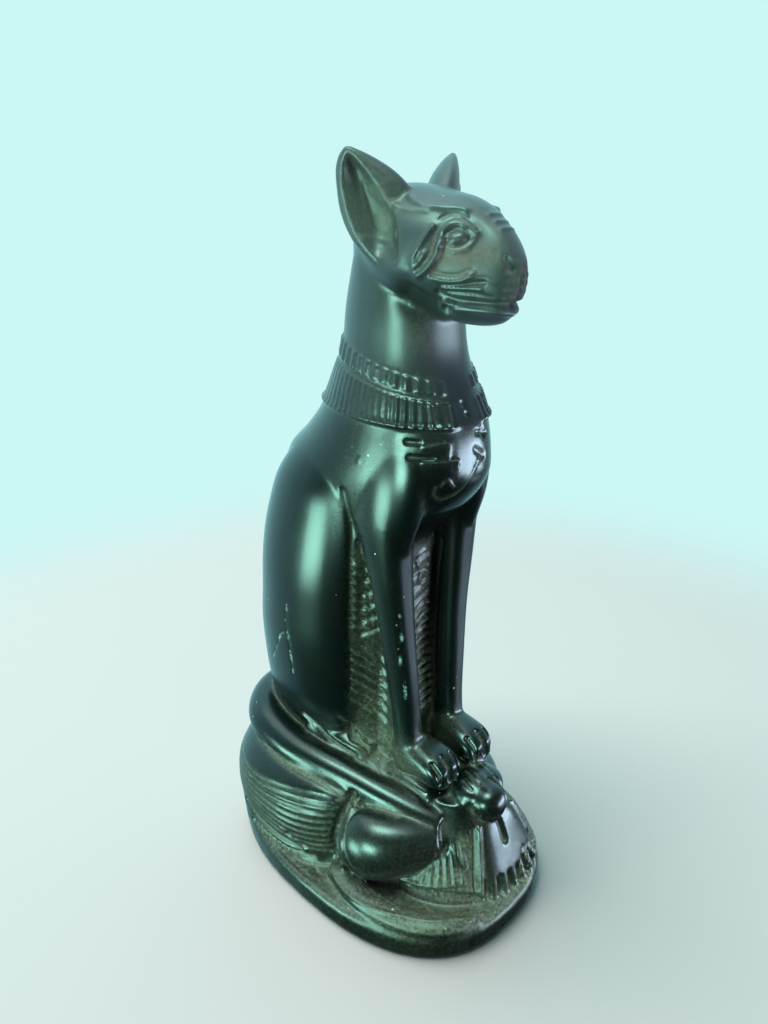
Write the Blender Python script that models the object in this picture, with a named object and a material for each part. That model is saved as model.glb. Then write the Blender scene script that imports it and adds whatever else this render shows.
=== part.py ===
"""A seated cat figurine in the ancient Egyptian manner, cast in one piece with the scarab beetle it sits on.

The cat looks along -Y and +X is its left side; the origin is the centre of the plinth's underside, in metres.
The figure is made as a sculptor would: rough forms are lofted, fused into one body, smoothed, then carved.
"""

import math

import bmesh
import bpy
import numpy as np
from mathutils.bvhtree import BVHTree

# Driving sizes, in metres.
PLINTH_LENGTH = 0.0735
PLINTH_WIDTH = 0.0545
PLINTH_HEIGHT = 0.0056
SCARAB_HEIGHT = 0.0224
SCARAB_INSET = 0.0016
CAT_HEIGHT = 0.122
CAT_ASIDE = 0.0035

# The clay's grain, how far rough forms are blended, and how fine the finished faceting is.
CLAY_GRAIN = 0.0008
BLEND_ROUNDS = 5
TRIANGLES = 9600

# The forms below are laid out on a cat 122 units high, on a scarab seat 28 units above the table.
SEAT_HEIGHT = PLINTH_HEIGHT + SCARAB_HEIGHT
CAT_UNIT = CAT_HEIGHT / 122
SEAT = 28.0
RING_POINTS = 48
COLLAR_BARS = 38
COLLAR_FLUTES = 60
STEPS_BETWEEN = 6

BLACK_RESIN = (0.012, 0.028, 0.025, 1.0)


def clear_scene():
    for old in list(bpy.data.objects):
        bpy.data.objects.remove(old)


def smooth_rows(rows, steps=STEPS_BETWEEN):
    """Rows of numbers with a Catmull-Rom curve drawn through each column."""
    rows = np.asarray(rows, float)
    padded = np.vstack([2 * rows[0] - rows[1], rows, 2 * rows[-1] - rows[-2]])
    out = []
    for a, b, c, d in zip(padded, padded[1:], padded[2:], padded[3:]):
        for t in np.arange(steps) / steps:
            cubic = 2 * a - 5 * b + 4 * c - d + t * (3 * (b - c) + d - a)
            out.append(b + 0.5 * t * (c - a + t * cubic))
    out.append(rows[-1])
    return np.array(out)


def super_ring(power):
    """A ring of unit half-widths: an ellipse at power 2, squarer above it."""
    angle = np.linspace(0, 2 * math.pi, RING_POINTS, endpoint=False)
    c, s = np.cos(angle), np.sin(angle)
    return np.sign(c) * abs(c) ** (2 / power), np.sign(s) * abs(s) ** (2 / power)


def column(rows, power=2.0):
    """An upright form. Each row is height, centre x, centre y, half-width, half-depth."""
    across, along = super_ring(power)
    rings = []
    for z, cx, cy, a, b in smooth_rows(rows):
        a, b = max(a, 0.05), max(b, 0.05)
        rings.append(np.stack([cx + a * across, cy + b * along, np.full(RING_POINTS, z)], 1))
    return rings


def lengthwise(rows, power=2.0):
    """A form that runs from back to front. Each row is y, centre x, centre z, half-width, half-height."""
    across, up = super_ring(power)
    rings = []
    for y, cx, cz, a, b in smooth_rows(rows):
        a, b = max(a, 0.05), max(b, 0.05)
        rings.append(np.stack([cx + a * across, np.full(RING_POINTS, y), cz + b * up], 1))
    return rings


def limb(rows, power=2.0, upright=False):
    """A form along a bent path. Each row is x, y, z, half-width, half-height across the path."""
    rows = smooth_rows(rows)
    path = rows[:, :3]
    heading = np.gradient(path, axis=0)
    heading /= np.linalg.norm(heading, axis=1)[:, None]
    side = np.cross(heading, (0.0, 1.0, 0.0) if upright else (0.0, 0.0, 1.0))
    side /= np.linalg.norm(side, axis=1)[:, None]
    top = np.cross(side, heading)
    across, up = super_ring(power)
    rings = []
    for centre, s, t, row in zip(path, side, top, rows):
        a, b = max(row[3], 0.05), max(row[4], 0.05)
        rings.append(centre + a * across[:, None] * s + b * up[:, None] * t)
    return rings


def egg(x, y, z, a, b, c):
    """An ellipsoid about a centre, with its three half-sizes."""
    across, along = super_ring(2.0)
    rings = []
    for turn in np.linspace(-0.47, 0.47, 13) * math.pi:
        wide, high = math.cos(turn), math.sin(turn)
        level = np.full(RING_POINTS, z + c * high)
        rings.append(np.stack([x + a * wide * across, y + b * wide * along, level], 1))
    return rings


def both_sides(rings):
    return [rings, [ring * (-1, 1, 1) for ring in rings]]


def cat_place(points):
    """From the cat's units to metres, on top of the scarab."""
    return points * CAT_UNIT + (CAT_ASIDE, 0.0, SEAT_HEIGHT - SEAT * CAT_UNIT)


def scarab_place(points):
    """From units on a plinth of 73.5 by 54.5 with a scarab 22.4 high to metres."""
    across = (PLINTH_WIDTH / 2 - SCARAB_INSET) / 25.65
    along = (PLINTH_LENGTH / 2 - SCARAB_INSET) / 35.15
    up = SCARAB_HEIGHT / 22.4
    return (points - (0.0, 0.0, 5.6)) * (across, along, up) + (0.0, 0.0, PLINTH_HEIGHT)


def ear_form():
    """The left ear, a leaf facing out and forwards. Rows are along, out, height, half-width, half-depth."""
    along = np.array((-0.695, -0.719, 0.0))
    out = np.array((0.719, -0.695, 0.0))
    rows = [
        (-1.6, 8.8, 129.4, 1.0, 0.8),
        (-2.8, 8.4, 131.6, 2.8, 1.9),
        (-4.2, 7.5, 134.4, 4.3, 2.8),
        (-5.2, 6.8, 137.6, 5.3, 3.1),
        (-5.6, 6.6, 140.7, 6.0, 3.2),
        (-5.6, 6.7, 143.5, 6.4, 3.1),
        (-7.0, 7.4, 146.4, 5.2, 2.5),
        (-8.6, 8.2, 148.6, 3.2, 1.6),
        (-9.7, 8.9, 150.0, 1.2, 0.7),
        (-10.2, 9.0, 150.5, 0.3, 0.3),
    ]
    across, deep = super_ring(2.0)
    rings = []
    for s, n, z, a, b in smooth_rows(rows):
        flat = (s + a * across)[:, None] * along + (n + b * deep)[:, None] * out
        rings.append(flat + (0.0, 0.0, z))
    return rings


def cat_forms():
    """The rough forms of the cat: each is a list of rings."""
    trunk = column(
        [
            (26, 0, 12.5, 12.0, 16.0),
            (32, 0, 13.5, 14.0, 17.5),
            (44, 0, 14.0, 14.6, 17.8),
            (58, 0, 13.4, 14.8, 18.4),
            (70, 0, 12.4, 14.6, 17.4),
            (78, 0, 12.2, 14.8, 17.8),
            (83, 0, 11.0, 14.8, 19.0),
            (88, 0, 7.8, 14.8, 22.2),
            (94, 0, 4.8, 14.8, 23.0),
            (99, 0, 2.1, 14.2, 20.3),
            (104, 0, 0.3, 13.5, 17.5),
            (108, 0, 0.0, 13.0, 15.4),
            (112, 0, 0.1, 12.0, 13.5),
            (117, 0, 0.0, 10.8, 11.8),
            (124, 0, 0.1, 10.1, 11.0),
            (131, 0, 0.0, 9.4, 9.6),
            (137, 0, 0.0, 8.4, 8.4),
        ],
        2.25,
    )
    chest = egg(0, -6.0, 97.4, 11.8, 12.4, 13.0)
    head = lengthwise(
        [
            (10.8, 0, 133.6, 1.0, 1.6),
            (9.6, 0, 133.8, 3.8, 5.6),
            (7.2, 0, 134.2, 6.2, 8.2),
            (3.8, 0, 134.6, 8.4, 9.5),
            (-0.6, 0, 134.8, 10.3, 10.2),
            (-5.0, 0, 134.5, 11.2, 10.3),
            (-10.0, 0, 133.6, 10.9, 10.2),
            (-14.0, 0, 132.8, 9.4, 10.2),
            (-17.4, 0, 132.0, 7.6, 9.6),
            (-20.0, 0, 131.2, 6.0, 8.6),
            (-22.4, 0, 130.6, 4.6, 7.2),
            (-24.3, 0, 130.6, 3.3, 4.7),
            (-25.5, 0, 131.2, 1.6, 2.1),
        ],
        2.15,
    )
    haunches = both_sides(
        column(
            [
                (27, 10.0, 17.0, 4.0, 8.0),
                (31, 9.4, 16.6, 6.8, 12.8),
                (38, 9.6, 16.4, 7.8, 14.9),
                (46, 9.9, 16.4, 8.4, 15.4),
                (54, 10.3, 16.2, 8.7, 15.3),
                (62, 10.4, 15.6, 8.7, 15.0),
                (69, 10.4, 15.1, 8.7, 14.9),
                (76, 10.0, 14.4, 8.6, 14.9),
                (83, 9.2, 13.4, 8.5, 14.5),
                (90, 8.3, 12.2, 8.0, 13.4),
                (96, 7.1, 10.2, 6.2, 11.0),
                (101, 5.8, 7.6, 2.8, 6.6),
            ],
            2.1,
        )
    )
    shoulders = both_sides(
        column(
            [
                (76, 9.8, -4.8, 3.4, 4.6),
                (82, 9.9, -4.8, 4.3, 6.4),
                (89, 9.5, -5.0, 4.9, 8.4),
                (96, 8.6, -5.2, 5.1, 9.0),
                (103, 7.2, -5.2, 4.8, 7.6),
                (109, 5.6, -4.6, 3.4, 5.4),
            ]
        )
    )
    forelegs = both_sides(
        column(
            [
                (28, 6.6, -10.4, 3.0, 3.2),
                (33, 6.7, -9.5, 2.8, 3.0),
                (40, 6.9, -8.7, 2.7, 3.0),
                (50, 7.5, -7.8, 2.9, 3.3),
                (62, 8.4, -6.7, 3.2, 3.7),
                (72, 9.3, -6.0, 3.7, 4.3),
                (80, 9.8, -5.2, 4.1, 5.2),
                (86, 9.8, -4.6, 4.6, 6.4),
            ],
            2.9,
        )
    )
    paws = both_sides(
        lengthwise(
            [
                (-6.0, 6.2, 31.0, 2.4, 3.2),
                (-10.0, 6.0, 31.6, 3.8, 4.0),
                (-14.0, 5.7, 31.4, 4.5, 3.9),
                (-17.8, 5.6, 30.8, 4.6, 3.5),
                (-20.4, 5.5, 30.0, 3.4, 2.3),
            ],
            2.5,
        )
    )
    side_webs = both_sides(
        column([(26, 6.0, 2.0, 1.8, 11.0), (60, 6.6, 2.0, 1.6, 9.0), (92, 7.2, 2.0, 1.6, 9.0)], 4.0)
    )
    front_web = column([(26, 0, 1.0, 7.0, 8.0), (60, 0, 2.0, 7.6, 6.0), (92, 0, 2.0, 8.0, 6.0)], 4.0)
    hind_feet = both_sides(
        limb(
            [
                (14.6, 14.0, 30.4, 2.4, 3.4),
                (13.2, 8.0, 29.6, 2.8, 3.0),
                (11.2, 2.4, 28.8, 3.2, 2.8),
                (9.8, -1.4, 28.2, 2.2, 1.8),
            ]
        )
    )
    tail = limb(
        [
            (8.0, 30.0, 30.0, 2.6, 3.2),
            (-2.0, 32.0, 30.2, 3.6, 3.8),
            (-12.0, 31.0, 29.8, 4.2, 4.2),
            (-18.2, 25.2, 28.8, 4.5, 4.2),
            (-19.6, 16.2, 27.4, 4.3, 4.0),
            (-18.2, 7.0, 26.1, 4.0, 3.8),
            (-15.8, -1.0, 24.7, 3.9, 3.7),
            (-13.4, -9.0, 23.1, 3.8, 3.5),
            (-10.8, -16.0, 21.4, 3.5, 3.2),
            (-8.8, -20.8, 20.2, 2.8, 2.6),
        ]
    )
    groups = both_sides(ear_form()) + haunches + shoulders + forelegs + paws + side_webs + hind_feet
    return [trunk, chest, head, front_web, tail] + groups


def scarab_forms():
    """The beetle that the cat sits on: wing cases, thorax, head and shovel-shaped front."""
    wing_cases = column(
        [
            (3.0, 0.0, 13.6, 24.8, 21.8),
            (10.0, 0.2, 13.8, 25.4, 22.2),
            (16.0, 0.3, 13.9, 26.0, 22.6),
            (21.0, 0.5, 13.8, 25.2, 22.4),
            (25.0, 1.2, 13.2, 22.4, 20.8),
            (28.0, 2.6, 12.2, 16.6, 17.0),
            (29.0, 3.0, 12.0, 10.0, 10.0),
        ],
        2.5,
    )
    thorax = column(
        [
            (3.0, 1.6, -4.0, 22.0, 17.0),
            (8.0, 1.6, -4.0, 21.6, 16.6),
            (14.0, 2.2, -4.4, 20.6, 16.4),
            (20.0, 3.2, -5.0, 17.8, 15.8),
            (25.0, 4.0, -6.0, 14.0, 14.2),
            (27.6, 4.4, -6.0, 10.0, 10.8),
        ],
        2.3,
    )
    lobes = both_sides(
        limb(
            [
                (-15.6, -5.0, 15.0, 4.2, 5.6),
                (-16.0, -8.8, 15.2, 6.5, 7.8),
                (-14.4, -12.8, 15.6, 7.0, 7.8),
                (-11.2, -17.4, 16.4, 5.6, 6.4),
                (-7.0, -22.2, 17.4, 3.0, 3.8),
            ]
        )
    )
    front = column(
        [
            (3.0, 3.0, -14.0, 17.4, 19.0),
            (8.0, 3.0, -14.0, 17.0, 18.6),
            (14.0, 3.1, -14.4, 14.2, 15.8),
            (20.0, 3.3, -14.8, 11.2, 13.0),
            (24.5, 3.5, -15.0, 8.8, 10.6),
        ],
        2.1,
    )
    clypeus = column(
        [
            (3.0, 5.4, -24.6, 12.4, 10.4),
            (7.6, 5.4, -24.4, 12.0, 10.0),
            (14.0, 5.2, -24.4, 9.4, 7.2),
            (19.0, 4.8, -24.2, 7.2, 5.2),
            (22.0, 4.4, -24.2, 4.6, 3.4),
        ],
        2.6,
    )
    knob = egg(3.6, -26.2, 24.2, 4.3, 4.0, 3.9)
    brow = egg(4.8, -22.2, 24.8, 6.6, 5.2, 4.0)
    forelimbs = both_sides(
        limb(
            [
                (20.4, -4.0, 7.2, 2.4, 1.8),
                (21.8, -13.0, 6.8, 2.8, 2.1),
                (20.0, -22.0, 6.4, 2.8, 2.0),
                (15.2, -29.4, 6.0, 2.6, 1.8),
                (8.0, -33.6, 5.6, 1.8, 1.2),
            ]
        )
    )
    return [wing_cases, thorax, front, clypeus, knob, brow] + lobes + forelimbs


def plinth_form():
    """The flat oval slab, in metres, from the table up."""
    across, along = super_ring(2.48)
    rings = []
    for share, inset in ((0, 0.0006), (0.18, 0.0), (0.8, 0.0), (1, 0.0006)):
        a, b = PLINTH_WIDTH / 2 - inset, PLINTH_LENGTH / 2 - inset
        level = np.full(RING_POINTS, PLINTH_HEIGHT * share)
        rings.append(np.stack([a * across, b * along, level], 1))
    return rings


def add_skin(bm, rings):
    """A closed skin through rings of points, with flat ends."""
    loops = [[bm.verts.new(point) for point in ring] for ring in rings]
    n = RING_POINTS
    faces = [bm.faces.new(loops[0]), bm.faces.new(loops[-1])]
    for low, high in zip(loops, loops[1:]):
        for i in range(n):
            j = (i + 1) % n
            faces.append(bm.faces.new((low[i], low[j], high[j], high[i])))
    bmesh.ops.recalc_face_normals(bm, faces=faces)


def rough_mesh():
    bm = bmesh.new()
    for rings in cat_forms():
        add_skin(bm, [cat_place(ring) for ring in rings])
    for rings in scarab_forms():
        add_skin(bm, [scarab_place(ring) for ring in rings])
    add_skin(bm, plinth_form())
    mesh = bpy.data.meshes.new("cat_figurine")
    bm.to_mesh(mesh)
    bm.free()
    return mesh


def applied(obj):
    """The object's mesh with its modifiers applied."""
    graph = bpy.context.evaluated_depsgraph_get()
    mesh = bpy.data.meshes.new_from_object(obj.evaluated_get(graph))
    obj.modifiers.clear()
    obj.data = mesh
    return mesh


def fuse(obj, grain=CLAY_GRAIN):
    remesh = obj.modifiers.new("one_body", "REMESH")
    remesh.mode = "VOXEL"
    remesh.voxel_size = grain
    smooth = obj.modifiers.new("blend", "SMOOTH")
    smooth.iterations = BLEND_ROUNDS
    smooth.factor = 0.5
    return applied(obj)


class Carver:
    """Moves a body's points in and out along their normals, by strokes that follow its surface."""

    def __init__(self, obj, unit=0.001):
        mesh = obj.data
        count = len(mesh.vertices)
        self.mesh = mesh
        self.unit = unit
        self.points = np.empty(count * 3, np.float32)
        self.normals = np.empty(count * 3, np.float32)
        mesh.vertices.foreach_get("co", self.points)
        mesh.vertices.foreach_get("normal", self.normals)
        self.points = self.points.reshape(-1, 3).astype(float)
        self.normals = self.normals.reshape(-1, 3).astype(float)
        self.moves = np.zeros(count)
        self.tree = BVHTree.FromObject(obj, bpy.context.evaluated_depsgraph_get())

    def near(self, place, rows, reach):
        """Distance from each point to a smooth path laid on the surface, for the points within reach."""
        path = place(smooth_rows(rows, 8))
        path = np.array([self.tree.find_nearest(p)[0] for p in path])
        box = (self.points > path.min(0) - reach).all(1) & (self.points < path.max(0) + reach).all(1)
        inside = np.nonzero(box)[0]
        starts, steps = path[:-1], np.diff(path, axis=0)
        lengths = np.maximum((steps**2).sum(1), 1e-18)
        best = np.full(len(inside), 1e9)
        for a, step, length in zip(starts, steps, lengths):
            away = self.points[inside] - a
            along = np.clip(away @ step / length, 0, 1)
            best = np.minimum(best, np.linalg.norm(away - along[:, None] * step, axis=1))
        return inside, best

    def stroke(self, place, rows, width, height):
        """A rounded ridge along a path, or a groove where its height is below nothing."""
        inside, away = self.near(place, rows, 2.2 * width * self.unit)
        self.moves[inside] += height * self.unit * np.exp(-((away / (0.5 * width * self.unit)) ** 2))

    def strokes(self, place, rows, width, height, sides=(1, -1), middle=0.0):
        """The same stroke on both sides of an upright plane."""
        rows = np.asarray(rows, float)
        for side in sides:
            turned = rows.copy()
            turned[:, 0] = middle + side * (rows[:, 0] - middle)
            self.stroke(place, turned, width, height)

    def shift(self, move):
        self.moves += move * self.unit

    def finish(self):
        moved = self.points + self.normals * self.moves[:, None]
        self.mesh.vertices.foreach_set("co", moved.astype(np.float32).ravel())
        self.mesh.update()


def step_up(value, low, high):
    """From 0 at low to 1 at high, without corners."""
    t = np.clip((value - low) / (high - low), 0, 1)
    return t * t * (3 - 2 * t)


def carve_collar(tool, cat):
    """A narrow band of upright bars above a wide fluted one, lower in front."""
    x, y, z = cat.T
    round_neck = np.arctan2(x, -y - 0.5)
    top = 116.4 + 0.28 * y
    middle = 113.0 + 0.22 * y
    bottom = 105.2 + 0.05 * y
    narrow = step_up(z, middle, middle + 0.5) * step_up(-z, -top, -top + 0.5)
    wide = step_up(z, bottom, bottom + 0.5) * step_up(-z, -middle + 0.6, -middle + 1.1)
    bars = 0.5 + 0.5 * np.cos(round_neck * COLLAR_BARS)
    flutes = 0.5 + 0.5 * np.cos(round_neck * COLLAR_FLUTES)
    crisp = 0.35 + 0.65 * step_up(-abs(round_neck), -1.25, -0.85)
    low_rim = np.exp(-(((z - bottom - 0.5) / 0.55) ** 2))
    worn = step_up(abs(round_neck), 0.12, 0.42)
    band = narrow * (0.15 + 0.3 * bars) + wide * (0.25 + 0.3 * flutes * crisp) + 0.4 * low_rim
    tool.shift(worn * band)


def carve_ears(tool, cat, normals):
    """Each ear is hollowed from its front, inside a rim."""
    for side in (1, -1):
        x, y, z = (cat * (side, 1, 1)).T
        along = -0.695 * x - 0.719 * y
        out = 0.719 * x - 0.695 * y
        facing = 0.719 * side * normals[:, 0] - 0.695 * normals[:, 1]
        levels = [131, 134, 137, 140, 144, 147, 149.5]
        middle = np.interp(z, levels, [-3.0, -4.0, -5.2, -6.2, -8.0, -9.1, -9.9])
        half = np.interp(z, levels, [0.5, 2.4, 3.7, 4.0, 3.1, 1.8, 0.4])
        across = np.clip(1 - ((along - middle) / half) ** 2, 0, 1)
        height = step_up(z, 131.5, 135.5) * step_up(-z, -149.6, -146.5)
        front = step_up(facing, 0.0, 0.35) * step_up(out, 3.5, 6.5)
        tool.shift(-2.3 * across * height * front)


def carve_face(tool):
    face = tool.strokes
    face(cat_place, [(7.8, -15.8, 136.4), (6.8, -17.4, 136.6), (5.8, -18.8, 136.8)], 4.2, -0.7)
    face(cat_place, [(7.2, -16.8, 136.5), (6.9, -17.2, 136.6), (6.6, -17.6, 136.7)], 2.6, 0.9)
    upper_lid = [
        (9.1, -14.9, 135.4),
        (7.9, -15.1, 137.6),
        (6.8, -16.2, 138.8),
        (5.7, -17.6, 138.5),
        (4.9, -19.4, 137.5),
    ]
    face(cat_place, upper_lid, 1.1, 0.6)
    lower_lid = [(8.6, -15.3, 135.6), (7.6, -16.9, 134.8), (6.4, -18.6, 135.2), (5.2, -19.4, 136.6)]
    face(cat_place, lower_lid, 1.0, 0.4)
    brow = [(7.0, -7.0, 143.0), (7.3, -10.0, 141.4), (5.8, -13.6, 140.9), (4.2, -16.4, 140.6)]
    face(cat_place, brow, 1.4, 0.5)
    line_inside = [(8.0, -15.3, 136.8), (9.2, -14.9, 134.0), (10.0, -13.8, 132.1), (10.5, -12.1, 130.7)]
    face(cat_place, line_inside, 1.2, 0.7)
    line_outside = [(8.3, -13.4, 138.3), (9.9, -12.3, 135.6), (10.5, -11.2, 133.2), (10.3, -11.7, 131.1)]
    face(cat_place, line_outside, 0.9, 0.4)
    cheek = [(9.3, -14.1, 130.6), (8.4, -16.5, 130.1), (7.2, -18.4, 130.3), (6.3, -19.7, 131.2)]
    face(cat_place, cheek, 1.2, 0.5)
    mouth = [
        (8.2, -14.6, 128.0),
        (6.8, -16.4, 127.2),
        (5.4, -19.6, 126.8),
        (3.4, -23.2, 126.5),
        (0.0, -24.6, 126.2),
    ]
    face(cat_place, mouth, 1.3, -0.8)
    lower_lip = [(6.4, -15.6, 125.6), (5.2, -19.4, 125.4), (3.0, -22.8, 125.3), (0.0, -24.0, 125.0)]
    face(cat_place, lower_lip, 1.2, 0.35)
    face(cat_place, [(1.4, -25.0, 131.6), (2.2, -24.4, 132.4), (2.4, -23.6, 133.2)], 1.0, -0.5)
    split = [(0.0, -25.4, 131.0), (0.0, -25.6, 129.4), (0.0, -25.2, 127.4)]
    tool.stroke(cat_place, split, 0.9, -0.45)
    face(cat_place, [(9.4, -9.4, 127.6), (8.6, -11.6, 126.4), (7.8, -13.4, 125.4)], 5.0, -1.3)
    face(cat_place, [(9.6, -0.6, 143.6), (7.8, -3.2, 141.0), (7.2, -5.4, 139.6)], 1.2, 0.4)


def carve_body(tool):
    body = tool.strokes
    crease = [
        (10.4, 2.4, 91.0),
        (12.8, 1.4, 84.0),
        (13.6, 1.2, 74.0),
        (13.8, 1.2, 60.0),
        (13.4, 1.6, 44.0),
    ]
    body(cat_place, crease, 1.4, -0.5)
    behind_foreleg = [(12.6, -0.8, 80.0), (12.0, -2.6, 70.0), (10.6, -3.4, 58.0), (9.2, -4.6, 42.0)]
    body(cat_place, behind_foreleg, 1.4, -0.6)
    within_foreleg = [(4.4, -6.4, 78.0), (4.8, -5.6, 64.0), (4.2, -5.8, 50.0), (3.6, -6.6, 38.0)]
    body(cat_place, within_foreleg, 1.2, -0.5)
    for level in np.linspace(40.0, 74.0, 12):
        lean = -1.6 if level < 56 else 1.2
        width = 0.2 + 0.028 * (level - 40)
        line = [(9.4, 1.0 + 2 * width, level), (9.0, -1.4, level + lean), (9.0, -3.6, level + 2 * lean)]
        body(cat_place, line, 1.2, -0.4)
    for level in np.linspace(42.0, 74.0, 11):
        line = [(-3.0, -5.0, level - 0.8), (0.0, -4.6, level), (3.0, -5.0, level + 0.8)]
        tool.stroke(cat_place, line, 1.2, -0.4)
    for x in (2.8, 5.9, 9.0):
        body(cat_place, [(x, -18.0, 34.0), (x, -19.8, 32.2), (x, -20.8, 29.6)], 1.0, -0.9)
    for step in (-1.4, 0.6):
        toe = [(12.4 + step, 4.0, 33.0), (11.6 + step, 0.6, 31.6), (10.6 + step, -2.0, 29.6)]
        body(cat_place, toe, 1.0, -0.6)
    above_tail = [(-18.2, 13.7, 34.0), (-15.2, 2.4, 29.8), (-11.8, -6.4, 27.6), (-9.4, -16.4, 24.8)]
    tool.stroke(cat_place, above_tail, 1.2, -0.5)
    below_tail = [(-23.6, 21.0, 26.6), (-22.8, 9.6, 24.8), (-19.4, -3.9, 22.6), (-15.6, -14.0, 19.8)]
    tool.stroke(cat_place, below_tail, 1.2, -0.35)


def carve_scarab(tool):
    beetle = tool.strokes
    for row in range(9):
        rear = 21.6 - 1.4 * row
        front = 23.4 - 1.7 * row
        line = [(-12.0, 34.0, rear), (-21.0, 29.0, rear), (-25.0, 18.0, rear), (-18.6, -3.0, front)]
        beetle(scarab_place, line, 1.0, -0.2)
    beetle(scarab_place, [(-24.0, 24.0, 9.6), (-25.4, 14.0, 8.4), (-24.2, 4.0, 8.2)], 1.6, -0.9)
    beetle(scarab_place, [(-24.8, 20.0, 6.8), (-25.2, 8.0, 6.8), (-22.6, -4.6, 8.0)], 1.2, -0.5)
    beetle(scarab_place, [(-15.2, -4.4, 24.0), (-19.2, -3.4, 16.0), (-20.0, -3.6, 9.4)], 1.5, -1.1)
    beetle(scarab_place, [(-15.0, -6.0, 22.6), (-19.8, -5.8, 15.6), (-21.0, -7.0, 9.6)], 1.4, 0.5)
    rim = [
        (-14.0, -6.4, 22.4),
        (-20.4, -8.2, 17.4),
        (-21.6, -10.8, 12.6),
        (-19.4, -14.6, 10.6),
        (-13.0, -20.0, 12.0),
        (-6.4, -23.0, 16.4),
    ]
    beetle(scarab_place, rim, 1.3, -0.8)
    for share in np.linspace(0.0, 1.0, 9):
        top = (-9.4 + 5.6 * share, -19.6 - 5.4 * share, 13.6 + 4.4 * share)
        low = (-12.6 + 8.2 * share, -19.0 - 11.0 * share, 9.2)
        middle = [(a + b) / 2 for a, b in zip(top, low)]
        beetle(scarab_place, [top, middle, low], 0.9, -0.25, middle=5.4)
    beetle(scarab_place, [(-13.8, -17.4, 8.4), (-10.0, -25.0, 8.4), (-4.8, -30.8, 8.2)], 0.9, 0.4, middle=5.4)
    hem = [(-14.4, -17.8, 7.0), (-10.6, -25.6, 7.0), (-5.0, -31.6, 7.0)]
    beetle(scarab_place, hem, 0.9, -0.4, middle=5.4)
    beetle(scarab_place, [(-0.8, -27.4, 20.0), (-2.6, -29.6, 13.6), (-4.0, -31.4, 7.4)], 1.1, 0.6, middle=5.4)
    border = [(-1.9, -27.0, 20.0), (-3.8, -29.0, 13.6), (-5.4, -30.6, 7.4)]
    beetle(scarab_place, border, 0.9, -0.5, middle=5.4)
    for tooth in np.linspace(-8.4, 9.2, 7):
        reach = math.sqrt(1 - (tooth / 12.2) ** 2)
        foot = (5.4 + tooth, -24.5 - 10.2 * reach, 6.4)
        head = (5.4 + tooth * 0.93, -24.4 - 9.2 * reach, 9.4)
        tool.stroke(scarab_place, [head, [(a + b) / 2 for a, b in zip(head, foot)], foot], 1.3, -0.9)
    tool.stroke(scarab_place, [(4.2, -28.4, 20.6), (4.4, -29.4, 18.4), (4.4, -30.4, 15.6)], 1.3, -1.0)
    ring = [
        (-0.6, -27.6, 22.6),
        (1.6, -29.4, 21.0),
        (4.4, -29.6, 20.8),
        (7.2, -28.4, 22.0),
        (8.2, -26.4, 23.4),
    ]
    tool.stroke(scarab_place, ring, 1.0, 0.5)
    for fold in (-3.4, -1.2, 1.0, 3.2):
        line = [(4.4 + fold, -19.6, 29.4), (4.2 + fold * 1.1, -22.0, 28.6), (3.8 + fold, -24.0, 27.6)]
        tool.stroke(scarab_place, line, 0.7, -0.22)
    for share in np.linspace(0.0, 1.0, 11):
        turn = -0.32 - 0.84 * share
        inner = (-20.4 * math.cos(turn), 28.6 * math.sin(turn), 8.4)
        middle = (-22.0 * math.cos(turn - 0.06), 31.4 * math.sin(turn - 0.06), 8.4)
        outer = (-23.6 * math.cos(turn - 0.12), 33.6 * math.sin(turn - 0.12), 7.4)
        beetle(scarab_place, [inner, middle, outer], 1.1, -0.45)


def carve(obj):
    tool = Carver(obj)
    cat = (tool.points - cat_place(np.zeros(3))) / CAT_UNIT
    carve_collar(tool, cat)
    carve_ears(tool, cat, tool.normals)
    carve_face(tool)
    carve_body(tool)
    carve_scarab(tool)
    tool.moves[tool.points[:, 2] < 0.7 * PLINTH_HEIGHT] = 0
    tool.finish()


def simplify(obj):
    count = sum(len(face.vertices) - 2 for face in obj.data.polygons)
    thin = obj.modifiers.new("facets", "DECIMATE")
    thin.ratio = TRIANGLES / count
    return applied(obj)


def resin():
    material = bpy.data.materials.new("black_resin")
    material.use_nodes = True
    shader = material.node_tree.nodes["Principled BSDF"]
    shader.inputs["Base Color"].default_value = BLACK_RESIN
    shader.inputs["Roughness"].default_value = 0.34
    shader.inputs["Metallic"].default_value = 0.0
    return material


def figurine(grain=CLAY_GRAIN):
    obj = bpy.data.objects.new("cat_figurine", rough_mesh())
    bpy.context.scene.collection.objects.link(obj)
    fuse(obj, grain)
    carve(obj)
    return obj


def main():
    clear_scene()
    obj = figurine()
    simplify(obj)
    obj.data.materials.append(resin())
    obj.data.shade_smooth()


if __name__ == "__main__":
    main()
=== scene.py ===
"""A seated cat figurine on its scarab, in satin black-green resin with dust in its carving.

It is one casting. It is carved again here at a finer grain than its solid has, and then shown
with its finish, its floor, its lights and its camera.
"""

import math
from functools import partial

import bmesh
import bpy
import numpy as np
from mathutils import Matrix, Vector
from mathutils.bvhtree import BVHTree


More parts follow.
